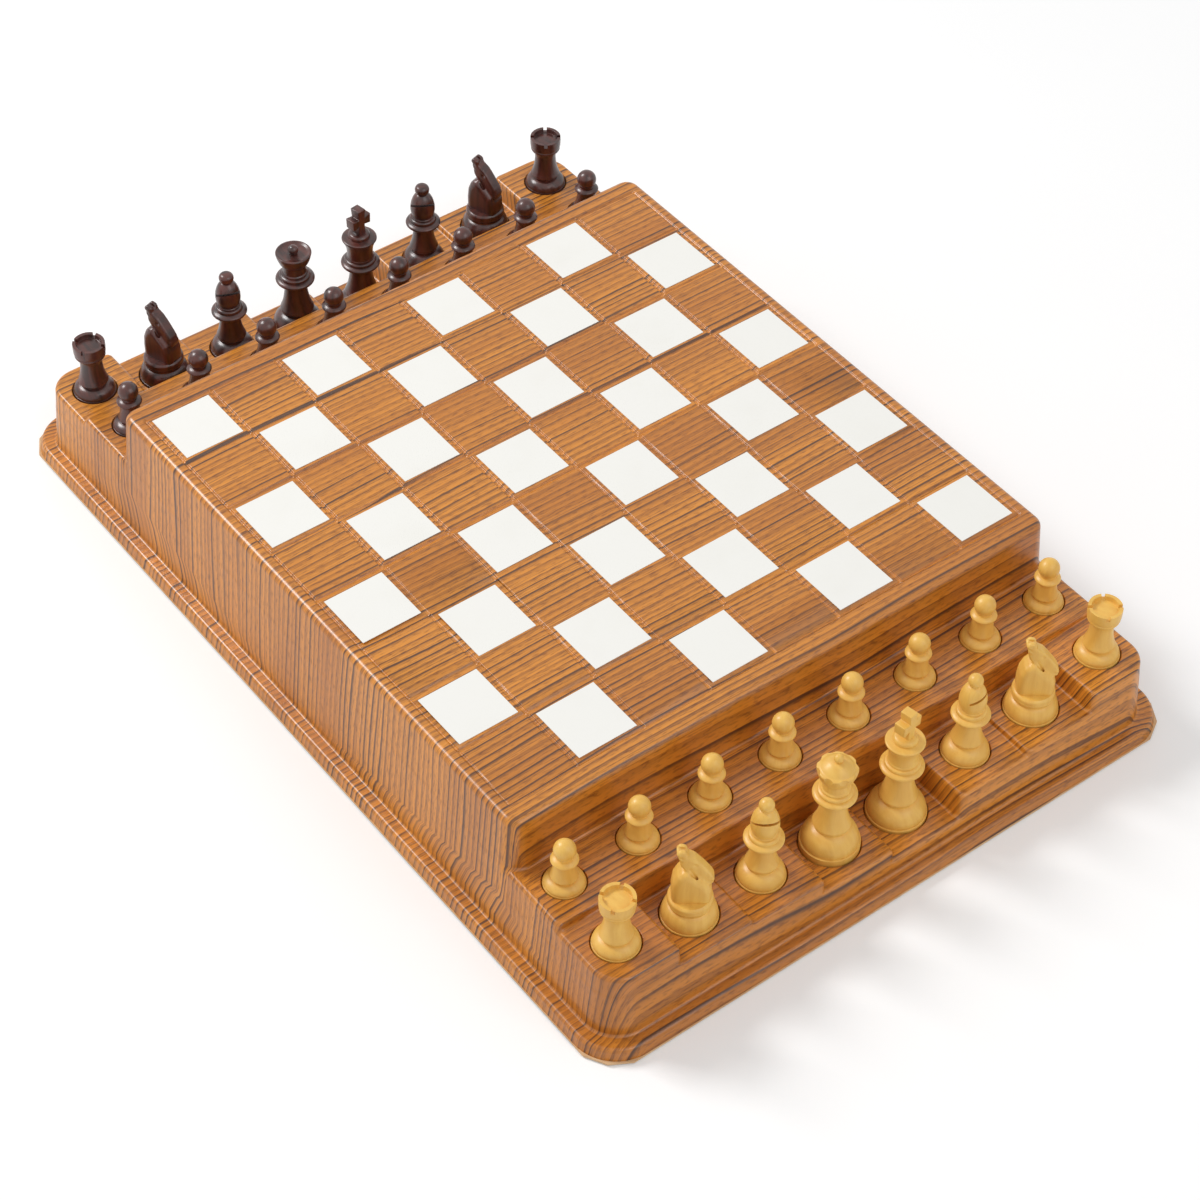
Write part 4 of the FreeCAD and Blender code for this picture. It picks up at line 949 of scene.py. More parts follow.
    def drape(self, x: np.ndarray, y: np.ndarray, z: np.ndarray) -> np.ndarray:
        """Place of each point on the flat sheet before it was formed.

        Args:
            x: places across the board.
            y: places along it.
            z: heights.

        Returns:
            Rows of along-grain, across-grain and zero, in metres.
        """
        rook = self.pad_z[0]
        limit_x = self.wall_x(rook) - self.tray_radius
        limit_y = self.wall_y(rook) - self.tray_radius
        dx = np.maximum(np.abs(x) - limit_x, 1e-3)
        dy = np.maximum(np.abs(y) - limit_y, 1e-3)
        lean = np.where(np.abs(y) > limit_y, dy ** 2 / (dx ** 2 + dy ** 2), 0.0)
        inner_x = np.clip(x, -self.wall_x_at_top + self.safe, self.wall_x_at_top - self.safe)
        end = self.wall_y(rook) - self.safe
        inner_y = np.clip(y, -end, end)
        top = np.maximum(self.height(inner_x, inner_y), z)
        fall = (self.top_z - top) + lean * (top - z)
        across = y + np.sign(y) * self.stretch * fall
        along = x + np.sign(x) * (1 - lean) * (top - z)
        return np.stack([along, across, np.zeros_like(x)], 1) * MM

    def build(self, material: bpy.types.Material) -> bpy.types.Object:
        """Make the shell's mesh in place of its CAD node.

        Args:
            material: the sheet's finish.

        Returns:
            The shell.
        """
        self.draw_steps()
        self.draw_shelves()
        self.draw_rim()
        self.draw_grooves()
        self.draw_wells()
        points = [Vector(p) for line in self.lines for p in line]
        edges = [(2 * n, 2 * n + 1) for n in range(len(self.lines))]
        flat, _, faces, *_ = delaunay_2d_cdt(points, edges, [], 0, 1e-4)
        x = np.array([p.x for p in flat])
        y = np.array([p.y for p in flat])
        z = np.maximum(self.height(x, y), self.bottom_z)
        step = self.slope_step
        slope_x = (self.height(x + step, y) - self.height(x - step, y)) / (2 * step)
        slope_y = (self.height(x, y + step) - self.height(x, y - step)) / (2 * step)
        normals = np.stack([-slope_x, -slope_y, np.ones_like(x)], 1)
        normals /= np.linalg.norm(normals, axis=1, keepdims=True)
        outer = np.stack([x, y, z], 1)
        inner = outer - normals * self.wall
        rim = self.boundary(faces)
        on_rim = np.zeros(len(x), bool)
        on_rim[[a for a, _ in rim]] = True
        inner[on_rim, 2] = self.bottom_z
        count = len(x)
        skin = [tuple(f) for f in faces]
        lining = [tuple(count + v for v in reversed(f)) for f in skin]
        lip = [(b, a, a + count, b + count) for a, b in rim]
        piece = new_piece(
            "shell_form", np.concatenate([outer, inner]) * MM, skin + lining + lip, ROOT_BODY, material,
        )
        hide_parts("top_shell")
        drape = np.tile(self.drape(x, y, z), (2, 1))
        store = piece.data.attributes.new("drape", "FLOAT_VECTOR", "POINT")
        store.data.foreach_set("vector", drape.astype(np.float32).ravel())
        piece.data.shade_smooth()
        both = np.concatenate([normals, -normals])
        piece.data.normals_split_custom_set_from_vertices([Vector(n) for n in both])
        return piece

    @staticmethod
    def boundary(faces: list) -> list[tuple[int, int]]:
        """Edges that belong to one face only.

        Args:
            faces: corner numbers of each face.

        Returns:
            Pairs of corners in the faces' own order.
        """
        seen = {}
        for face in faces:
            for a, b in zip(face, list(face[1:]) + [face[0]]):
                seen[(a, b)] = seen.get((a, b), 0) + 1
        return [(a, b) for a, b in seen if (b, a) not in seen]


def smooth_run(points: Sequence[Point], steps: int) -> list[Point]:
    """Smooth line through points.

    Args:
        points: the points, in order.
        steps: short lines between each two points.

    Returns:
        The finer points, without the last.
    """
    if len(points) == 2:
        return [points[0]]
    line = [Vector((*p, 0.0)) for p in points]
    line = [2 * line[0] - line[1]] + line + [2 * line[-1] - line[-2]]
    fine = []
    for a, b, c, d in zip(line, line[1:], line[2:], line[3:]):
        for n in range(steps):
            t = n / steps
            bend = (2 * a - 5 * b + 4 * c - d) * t ** 2
            twist = (3 * b - a - 3 * c + d) * t ** 3
            p = 0.5 * (2 * b + (c - a) * t + bend + twist)
            fine.append((max(p.x, 0.0), p.y))
    return fine


def ball_run(radius: float, centre: float, start: float) -> list[Point]:
    """Arc of a ball from the radius where it leaves its seat to its top.

    Args:
        radius: the ball's radius.
        centre: level of its middle.
        start: radius of its seat.

    Returns:
        Points for a run.
    """
    low = -math.acos(start / radius)
    turns = [low + (math.pi / 2 - low) * n / BALL_STEPS for n in range(BALL_STEPS + 1)]
    return [(radius * math.cos(t) if t < math.pi / 2 else 0.0, centre + radius * math.sin(t)) for t in turns]


def lathe(runs: Sequence[Sequence[Point]], steps: int = 4, sides: int = 72) -> Shape:
    """Turn a profile round the vertical axis.

    Args:
        runs: smooth stretches of the profile, each starting where the last ends.
        steps: short lines between each two points.
        sides: facets round the axis.

    Returns:
        Corners in metres and faces.
    """
    points = [p for run in runs for p in smooth_run(run, steps)] + [runs[-1][-1]]
    vertices, rings, faces = [], [], []
    for radius, z in points:
        count = sides if radius > 1e-6 else 1
        rings.append(range(len(vertices), len(vertices) + count))
        for n in range(count):
            angle = 2 * math.pi * n / sides
            vertices.append((radius * MM * math.cos(angle), radius * MM * math.sin(angle), z * MM))
    for low, high in zip(rings, rings[1:]):
        for n in range(sides):
            m = (n + 1) % sides
            if len(low) == 1:
                faces.append((low[0], high[m], high[n]))
            elif len(high) == 1:
                faces.append((low[n], low[m], high[0]))
            else:
                faces.append((low[n], low[m], high[m], high[n]))
    return vertices, faces


def slab(outline: Sequence[Point], thick: float, place: float = 0.0) -> Shape:
    """Flat piece with an outline in the XZ plane.

    Args:
        outline: corners in millimetres.
        thick: size along Y.
        place: middle of it along Y.

    Returns:
        Corners in metres and faces.
    """
    count = len(outline)
    vertices = [(x * MM, (place + side * thick / 2) * MM, z * MM) for side in (-1, 1) for x, z in outline]
    faces = [tuple(range(count)), tuple(range(2 * count - 1, count - 1, -1))]
    faces += [(n, n + count, (n + 1) % count + count, (n + 1) % count) for n in range(count)]
    return vertices, faces


def rod(start: Vector, end: Vector, radius: float, sides: int = 24) -> Shape:
    """Round rod between two points in millimetres.

    Args:
        start: one end.
        end: the other end.
        radius: its radius.
        sides: facets round it.

    Returns:
        Corners in metres and faces.
    """
    turn = (end - start).to_track_quat("Z", "Y")
    vertices = []
    for centre in (start, end):
        for n in range(sides):
            angle = 2 * math.pi * n / sides
            offset = turn @ Vector((radius * math.cos(angle), radius * math.sin(angle), 0.0))
            vertices.append(tuple((centre + offset) * MM))
    faces = [tuple(reversed(range(sides))), tuple(range(sides, 2 * sides))]
    faces += [(n, (n + 1) % sides, (n + 1) % sides + sides, n + sides) for n in range(sides)]
    return vertices, faces


def joined(parts: Iterable[Shape]) -> Shape:
    """Put several shapes together.

    Args:
        parts: the shapes.

    Returns:
        One list of corners and one of faces.
    """
    vertices, faces = [], []
    for corners, rows in parts:
        first = len(vertices)
        vertices += corners
        faces += [tuple(first + n for n in row) for row in rows]
    return vertices, faces


def scratch(name: str, shape: Shape) -> bpy.types.Object:
    """Make an object that is used while a form is being made, with all its faces turned outwards.

    Args:
        name: its name.
        shape: its corners in metres and its faces.

    Returns:
        The object.
    """
    mesh = bpy.data.meshes.new(name)
    mesh.from_pydata(shape[0], [], shape[1])
    work = bmesh.new()
    work.from_mesh(mesh)
    bmesh.ops.recalc_face_normals(work, faces=work.faces)
    work.to_mesh(mesh)
    work.free()
    piece = bpy.data.objects.new(name, mesh)
    bpy.context.scene.collection.objects.link(piece)
    return piece


def settled(piece: bpy.types.Object, *helpers: bpy.types.Object) -> bpy.types.Mesh:
    """Apply an object's modifiers, and remove the object and its helpers.

    Args:
        piece: the object.
        helpers: objects that its modifiers use.

    Returns:
        The finished mesh.
    """
    graph = bpy.context.evaluated_depsgraph_get()
    mesh = bpy.data.meshes.new_from_object(piece.evaluated_get(graph))
    for used in (piece, *helpers):
        bpy.data.objects.remove(used)
    return mesh


def cut_away(body: bpy.types.Object, cutters: Shape) -> bpy.types.Object:
    """Have pieces cut out of an object.

    Args:
        body: the object.
        cutters: what is cut out of it.

    Returns:
        The helper that holds the cutters.
    """
    tool = scratch("tool", cutters)
    cut = body.modifiers.new("cut", "BOOLEAN")
    cut.operation = "DIFFERENCE"
    cut.solver = "EXACT"
    cut.use_self = True
    cut.object = tool
    return tool


def carved(shape: Shape, cutters: Shape) -> bpy.types.Mesh:
    """Cut pieces out of a form.

    Args:
        shape: the form.
        cutters: what is cut out of it.

    Returns:
        The finished mesh.
    """
    body = scratch("form", shape)
    return settled(body, cut_away(body, cutters))


class Kind(Enum):
    """Kinds of chess piece."""

    PAWN = "pawn"
    ROOK = "rook"
    KNIGHT = "knight"
    BISHOP = "bishop"
    QUEEN = "queen"
    KING = "king"


BACK_ROW = (
    Kind.ROOK, Kind.KNIGHT, Kind.BISHOP, Kind.QUEEN, Kind.KING, Kind.BISHOP, Kind.KNIGHT, Kind.ROOK,
)


@dataclass(frozen=True)
class PieceForms:
    """Forms of the six kinds of piece, in millimetres from the underside of the base."""

    magnet_radius: float = 4.5
    sharp: float = math.radians(36)
    rook_slots: int = 4
    rook_slot: float = 1.9
    rook_turn: float = 38.0
    mitre_level: float = 39.0
    mitre_tilt: float = -32.0
    cross_turn: float = 10.0
    cross_thick: float = 6.2
    cross_round: float = 0.5
    neck_thick: float = 11.6
    neck_round: float = 3.0
    head_thick: float = 6.2
    head_round: float = 1.1
    mane_levels: tuple = (43.6, 40.8, 38.0)
    queen_points: int = 8
    remesh: float = 0.00042

    def foot(self, base: float, plinth: float, ring: float, level: float) -> list:
        """Runs over the underside, the plinth and the domed base up to the crisp ring.

        Args:
            base: radius of the base.
            plinth: height of the plinth.
            ring: radius of the ring.
            level: height of the ring.

        Returns:
            The runs.
        """
        seat = base - 0.15 * plinth
        rise = level - 0.7 - plinth
        waist = ring - 0.9
        span = seat - waist
        flare = min(0.22 * rise + 0.7, 2.6)
        dome = level - flare - plinth
        return [
            [(0.0, 0.0), (self.magnet_radius, 0.0)],
            [(self.magnet_radius, 0.0), (base - 0.5, 0.0)],
            [(base - 0.5, 0.0), (base - 0.1, 0.25), (base, 0.7), (base, plinth - 0.5),
             (base - 0.15, plinth - 0.1)],
            [(base - 0.15, plinth - 0.1), (seat - 0.15, plinth)],
            [(seat - 0.15, plinth), (seat, plinth + 0.10 * dome),
             (seat - 0.08 * span, plinth + 0.36 * dome),
             (seat - 0.30 * span, plinth + 0.64 * dome), (seat - 0.66 * span, plinth + 0.88 * dome),
             (waist, plinth + dome)],
            [(waist, plinth + dome), (waist + 0.1, level - 0.55 * flare),
             (ring - 0.3, level - 0.5), (ring, level),
             (ring - 0.1, level + 0.45)],
        ]

    @cache
    def pawn(self) -> bpy.types.Mesh:
        """Pawn with a ball head over one collar.

        Returns:
            The mesh.
        """
        runs = self.foot(9.85, 2.1, 6.45, 7.3)
        runs += [
            [(6.35, 7.75), (5.75, 9.6), (5.25, 12.2), (4.95, 14.8), (4.9, 16.4)],
            [(4.9, 16.4), (5.8, 16.75), (6.35, 17.4), (6.4, 18.0), (5.9, 18.7), (4.9, 19.4), (4.0, 19.75)],
            [(4.0, 19.75), (3.9, 20.5)],
            ball_run(5.2, 24.0, 3.9),
        ]
        return self.smoothed(self.plain(runs))

    @cache
    def rook(self) -> bpy.types.Mesh:
        """Rook with a cupped crown cut by slots.

        Returns:
            The mesh.
        """
        runs = self.foot(11.1, 2.2, 7.8, 9.1)
        runs += [
            [(7.7, 9.55), (6.9, 11.8), (6.15, 15.2), (5.75, 19.0), (5.8, 22.2), (6.3, 24.4)],
            [(6.3, 24.4), (7.1, 24.9), (7.75, 25.5), (7.95, 26.3), (7.7, 27.0)],
            [(7.7, 27.0), (8.1, 27.5), (8.3, 29.5), (8.3, 33.0), (8.1, 33.3)],
            [(8.1, 33.3), (6.75, 33.3)],
            [(6.75, 33.3), (6.55, 33.1), (6.2, 31.2), (5.9, 31.0)],
            [(5.9, 31.0), (3.0, 31.15), (0.0, 31.2)],
        ]
        cuts = []
        for n in range(self.rook_slots):
            angle = math.radians(self.rook_turn + 360 * n / self.rook_slots)
            corners, faces = slab([(5.6, 31.3), (10.0, 31.3), (10.0, 34.5), (5.6, 34.5)], self.rook_slot)
            turn = Matrix.Rotation(angle, 4, "Z")
            cuts.append(([tuple(turn @ Vector(c)) for c in corners], faces))
        return self.smoothed(carved(lathe(runs), joined(cuts)))

    @cache
    def bishop(self, flat_finial: bool) -> bpy.types.Mesh:
        """Bishop with a slotted mitre and a finial.

        Args:
            flat_finial: whether the finial is low and round-edged in place of a ball.

        Returns:
            The mesh.
        """
        runs = self.foot(11.7, 2.2, 7.8, 11.4)
        runs += [
            [(7.7, 11.85), (6.9, 14.0), (6.05, 17.4), (5.55, 21.4), (5.5, 24.2), (5.8, 26.0)],
            [(5.8, 26.0), (8.4, 26.4), (9.2, 26.9), (9.4, 27.6), (9.1, 28.2), (8.2, 28.8), (7.2, 29.2)],
            [(7.2, 29.2), (7.25, 29.9), (7.05, 30.7), (6.5, 31.2), (5.8, 31.4)],
            [(5.8, 31.4), (5.9, 31.9), (5.6, 32.3)],
            [(5.6, 32.3), (6.15, 33.8), (6.6, 36.4), (6.5, 39.2), (5.85, 42.2), (4.7, 44.8),
             (3.3, 46.4), (2.5, 46.9)],
        ]
        if flat_finial:
            runs.append([(2.5, 46.9), (3.5, 47.7), (3.9, 49.2), (3.6, 50.8), (2.4, 51.9), (0.0, 52.3)])
        else:
            runs.append(ball_run(3.6, 49.8, 2.5))
        corners, faces = slab([(0.6, -0.6), (10.0, -0.6), (10.0, 0.6), (0.6, 0.6)], 24.0)
        turn = Matrix.Rotation(math.radians(self.mitre_tilt), 4, "Y")
        tilt = Matrix.Translation((0, 0, self.mitre_level * MM)) @ turn
        cut = ([tuple(tilt @ Vector(c)) for c in corners], faces)
        return self.smoothed(carved(lathe(runs), cut))

    @cache
    def queen(self, scalloped: bool) -> bpy.types.Mesh:
        """Queen with a coronet and a small ball.

        Args:
            scalloped: whether the coronet's rim is fluted.

        Returns:
            The mesh.
        """
        runs = self.foot(14.3, 4.9, 9.0, 17.2)
        runs += [
            [(8.9, 17.65), (7.9, 20.2), (6.9, 24.0), (6.2, 28.5), (5.9, 32.5), (6.1, 35.0)],
            [(6.1, 35.0), (9.0, 35.5), (10.1, 36.2), (10.4, 37.0), (10.1, 37.7), (9.2, 38.3), (8.2, 38.6)],
            [(8.2, 38.6), (8.4, 39.3), (8.2, 40.1), (7.5, 40.6), (6.9, 40.8)],
            [(6.9, 40.8), (7.0, 41.5), (6.6, 42.1), (6.4, 42.3)],
            [(6.4, 42.3), (6.3, 44.0), (6.4, 46.4), (6.8, 47.6)],
            [(6.8, 47.6), (7.7, 48.2), (8.5, 50.0), (9.2, 52.2), (9.55, 54.0)],
        ]
        if not scalloped:
            runs += [
                [(9.55, 54.0), (9.3, 54.4), (8.6, 54.5)],
                [(8.6, 54.5), (7.2, 53.7), (4.8, 53.5), (2.0, 53.8)],
                ball_run(2.8, 55.8, 2.0),
            ]
            return self.smoothed(self.plain(runs))
        runs += [
            [(9.55, 54.0), (9.2, 54.5), (8.0, 54.9)],
            [(8.0, 54.9), (6.4, 56.4), (4.2, 57.9), (1.7, 58.8)],
            ball_run(2.3, 60.4, 1.6),
        ]
        cuts = []
        for n in range(self.queen_points):
            angle = 2 * math.pi * (n + 0.5) / self.queen_points
            out = Vector((math.cos(angle), math.sin(angle), 0.0))
            cuts.append(rod(out * 13.9 + Vector((0, 0, 47.6)), out * 12.1 + Vector((0, 0, 58.5)), 4.2))
        return self.smoothed(carved(lathe(runs), joined(cuts)))

    @cache
    def king(self) -> bpy.types.Mesh:
        """King with a flared crown and a rough-cut cross.

        Returns:
            The mesh.
        """
        runs = self.foot(14.55, 3.1, 9.25, 14.3)
        runs += [
            [(9.15, 14.75), (8.1, 17.4), (7.0, 21.4), (6.25, 26.0), (5.95, 30.0), (6.1, 32.2)],
            [(6.1, 32.2), (9.2, 32.7), (10.2, 33.3), (10.5, 34.0), (10.2, 34.7), (9.3, 35.3), (8.5, 35.6)],
            [(8.5, 35.6), (8.6, 36.3), (8.3, 37.1), (7.6, 37.5), (7.2, 37.6)],
            [(7.2, 37.6), (7.35, 38.3), (7.0, 39.0)],
            [(7.0, 39.0), (6.95, 41.0), (7.1, 43.6), (7.7, 46.4), (8.7, 49.0), (9.4, 50.2)],
            [(9.4, 50.2), (9.3, 50.8), (8.5, 51.2), (6.0, 51.6)],
            [(6.0, 51.6), (6.0, 52.4), (5.6, 53.4), (4.4, 54.2), (0.0, 54.8)],
        ]
        cross = self.rounded([
            (-2.3, 54.0), (2.3, 54.0), (1.9, 60.2), (5.9, 59.2), (6.1, 65.4), (2.0, 64.6),
            (2.7, 69.8), (-2.5, 70.0),
            (-1.9, 64.5), (-6.1, 65.2), (-5.9, 59.0), (-1.9, 60.3),
        ], self.cross_thick, self.cross_round)
        arms = settled(scratch("arms", cross))
        turn = Matrix.Rotation(math.radians(self.cross_turn), 4, "Z")
        return self.smoothed(self.with_mesh(self.plain(runs), arms, turn))

    @cache
    def knight(self) -> bpy.types.Mesh:
        """Knight with a flat-sided arched neck and a slim carved head, facing +X.

        Returns:
            The mesh.
        """
        foot = self.foot(13.3, 2.3, 10.5, 12.4)
        foot += [[(10.4, 12.85), (10.2, 14.6), (9.2, 15.6)], [(9.2, 15.6), (0.0, 15.8)]]
        neck = [
            (8.9, 13.0), (9.2, 18.0), (9.0, 23.0), (7.4, 26.5), (4.2, 29.8), (1.0, 33.0),
            (-1.8, 34.6), (-4.4, 34.0),
            (-6.6, 31.8), (-8.3, 27.6), (-8.9, 22.0), (-8.8, 17.0), (-8.4, 13.0),
        ]
        head = [
            (-5.8, 47.4), (-2.8, 46.9), (-2.0, 44.0), (1.2, 42.0), (3.6, 39.2), (6.4, 35.4),
            (8.8, 31.8), (10.0, 29.0),
            (9.6, 26.4), (8.0, 25.6), (6.2, 24.4), (4.6, 25.4), (2.6, 28.8), (-0.4, 32.0),
            (-3.2, 34.6), (-5.2, 37.6),
            (-5.8, 41.2), (-7.3, 45.6),
        ]
        arch = self.rounded(neck, self.neck_thick, self.neck_round)
        muzzle = self.rounded(head, self.head_thick, self.head_round)
        body = scratch("knight_form", joined([arch, muzzle]))
        cuts = [rod(Vector((-9.0, 0.0, 47.6)), Vector((0.0, 0.0, 45.2)), 0.9)]
        for side in (-1, 1):
            cuts.append(rod(Vector((11.0, side * 3.3, 27.4)), Vector((7.2, side * 3.3, 28.6)), 0.55))
            cuts.append(rod(Vector((1.4, side * 4.0, 38.8)), Vector((1.4, side * 2.6, 38.8)), 0.95))
            cuts.append(rod(Vector((8.4, side * 4.0, 30.2)), Vector((8.4, side * 2.7, 30.2)), 0.6))
            for level in self.mane_levels:
                back = Vector((-9.0, side * 2.0, level + 1.4))
                cuts.append(rod(back, Vector((-4.0, side * 3.7, level - 0.8)), 0.7))
            cuts.append(rod(Vector((4.8, side * 3.6, 25.4)), Vector((-1.6, side * 3.6, 36.8)), 0.85))
            cuts.append(rod(Vector((0.4, side * 3.6, 41.2)), Vector((5.0, side * 3.6, 34.6)), 0.5))
        tool = cut_away(body, joined(cuts))
        merge = body.modifiers.new("merge", "REMESH")
        merge.mode = "VOXEL"
        merge.voxel_size = self.remesh
        soften = body.modifiers.new("soften", "SMOOTH")
        soften.factor = 0.5
        soften.iterations = 4
        return self.smoothed(self.with_mesh(self.plain(foot), settled(body, tool), Matrix.Identity(4)))

    @staticmethod
    def rounded(outline: Sequence[Point], thick: float, width: float) -> Shape:
        """Flat piece with rounded edges.

        Args:
            outline: corners in the XZ plane, in millimetres.
            thick: size along Y.
            width: how far the rounding reaches from each edge.

        Returns:
            Corners in metres and faces.
        """
        work = scratch("slab", slab(outline, thick))
        edges = work.modifiers.new("round", "BEVEL")
        edges.width = width * MM
        edges.segments = ROUND_STEPS
        edges.angle_limit = ROUND_ANGLE
        mesh = settled(work)
        return [tuple(v.co) for v in mesh.vertices], [tuple(f.vertices) for f in mesh.polygons]

    @staticmethod
    def plain(runs: list) -> bpy.types.Mesh:
        """Mesh of a turned form without cuts."""
        return settled(scratch("turned", lathe(runs)))

    @staticmethod
    def with_mesh(mesh: bpy.types.Mesh, other: bpy.types.Mesh, place: Matrix) -> bpy.types.Mesh:
        """Mesh with a second one added to it.

        Args:
            mesh: the first.
            other: the second.
            place: where the second goes.

        Returns:
            The first, with both.
        """
        other.transform(place)
        work = bmesh.new()
        work.from_mesh(mesh)
        work.from_mesh(other)
        work.to_mesh(mesh)
        work.free()
        return mesh

    def smoothed(self, mesh: bpy.types.Mesh) -> bpy.types.Mesh:
        """Shade a mesh smooth between its crisp edges, and mark the magnet's face for its own finish.

        Args:
            mesh: the mesh.

        Returns:
            The same mesh.
        """
        mesh.shade_smooth()
        mesh.set_sharp_from_angle(angle=self.sharp)
        for face in mesh.polygons:
            centre = face.center
            face.material_index = int(centre.z < 1e-6 and centre.xy.length < self.magnet_radius * MM)
        return mesh


@dataclass
class Army:
    """One colour's sixteen pieces, standing in the wells of its tray."""

    forms: PieceForms
    colour: str
    side: int
    slot: str
    wood: bpy.types.Material
    magnet: bpy.types.Material
    knight_turn: float
    bishop_turns: tuple
    plain_tops: bool
    shell: FormedShell
    rook_turn: float = 17.0
    pawn_turn: float = 43.0

    def mesh(self, kind: Kind) -> bpy.types.Mesh:
        """Mesh of one kind of piece.

        Args:
            kind: which.

        Returns:
            A copy for one piece, with its finishes.
        """
        if kind is Kind.BISHOP:
            made = self.forms.bishop(self.plain_tops)
        elif kind is Kind.QUEEN:
            made = self.forms.queen(not self.plain_tops)
        else:
            made = getattr(self.forms, kind.value)()
        copy = made.copy()
        copy.materials.clear()
        copy.materials.append(self.wood)
        copy.materials.append(self.magnet)
        return copy

    def places(self) -> list[tuple]:
        """Where the pieces stand.

        Returns:
            Name, kind, place and turn of every piece.
        """
        row = BACK_ROW
        rows = []
        for index, kind in enumerate(row):
            left = index < len(row) / 2
            single = kind in (Kind.QUEEN, Kind.KING)
            wing = "" if single else "_left" if left else "_right"
            turn = 0.0
            if kind is Kind.KNIGHT:
                turn = self.knight_turn
            elif kind is Kind.BISHOP:
                turn = self.bishop_turns[0 if left else 1]
            elif kind is Kind.ROOK:
                turn = 0.0 if left else self.rook_turn
            x = (index + 0.5 - len(row) / 2) * self.shell.station
            y = self.side * (self.shell.shelf_y + self.shell.back_setback)
            z = self.shell.pad_z[index] - self.shell.well_depth
            rows.append((self.colour + "_" + kind.value + wing, kind, (x, y, z), turn))
        for index in range(len(row)):
            x = (index + 0.5 - len(row) / 2) * self.shell.station
            y = self.side * (self.shell.block_foot_y + self.shell.pawn_setback)
            place = (x, y, self.shell.shelf_z - self.shell.well_depth)
            rows.append((f"{self.colour}_pawn_{index + 1}", Kind.PAWN, place, self.pawn_turn * index))
        return rows

    def build(self) -> None:
        """Make every piece in place of its CAD node."""
        for name, kind, place, turn in self.places():
            mesh = self.mesh(kind)
            piece = bpy.data.objects.new(name + "_turned", mesh)
            bpy.context.scene.collection.objects.link(piece)
            spin = Matrix.Rotation(math.radians(turn), 4, "Z")
            piece.matrix_world = Matrix.Translation(Vector(place) * MM) @ spin
            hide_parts(name)
            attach(piece, name + "_body")
            LOG.info("%s: %d faces", piece.name, len(mesh.polygons))


@dataclass
class TrimLip:
    """Sawn lip under the skirt, with straight cuts round the corners that leave the raw sheet bare."""

    shell: FormedShell
    cuts: int = 3
    width: float = 4.0
    thick: float = 1.0

    def corners(self, inset: float) -> list[Point]:
        """Corners of the lip's outline.

        Args:
            inset: how far it is moved inwards.

        Returns:
            The corners all round.
        """
        _, half_x, half_y = self.shell.flange_outline()
        half_x = half_x + self.shell.skirt_flare
        half_y = half_y + self.shell.skirt_flare
        radius = self.shell.flange_radius
        step = math.pi / 2 / self.cuts
        reach = radius / math.cos(step / 2) - inset
        points = []
        for quarter in range(4):
            sign_x = 1 if quarter in (0, 3) else -1
            sign_y = 1 if quarter in (0, 1) else -1
            for cut in range(self.cuts):
                angle = quarter * math.pi / 2 + (cut + 0.5) * step
                points.append((sign_x * (half_x - radius) + reach * math.cos(angle),
                               sign_y * (half_y - radius) + reach * math.sin(angle)))
        return points

    def build(self, material: bpy.types.Material) -> bpy.types.Object:
        """Make the lip as a flat ring.

        Args:
            material: the raw sheet's finish.

        Returns:
            The lip.
        """
        outer = self.corners(0.0)
        inner = self.corners(self.width)
        low = self.shell.bottom_z
        vertices = [(x, y, z) for z in (low, low + self.thick) for ring in (outer, inner) for x, y in ring]
        count = len(outer)
        faces = []
        for n in range(count):
            m = (n + 1) % count
            faces += [
                (n, m, m + 2 * count, n + 2 * count),
                (n + 2 * count, m + 2 * count, m + 3 * count, n + 3 * count),
                (m, n, n + count, m + count),
                (n + count, n + 3 * count, m + 3 * count, m + count),
            ]
        corners = [tuple(c * MM for c in v) for v in vertices]
        return new_piece("trim_lip", corners, faces, ROOT_BODY, material)


@dataclass(frozen=True)
class Lamp:
    """Square soft light: its name, place, side in metres and watts."""

    name: str
    place: tuple
    size: float
    power: float


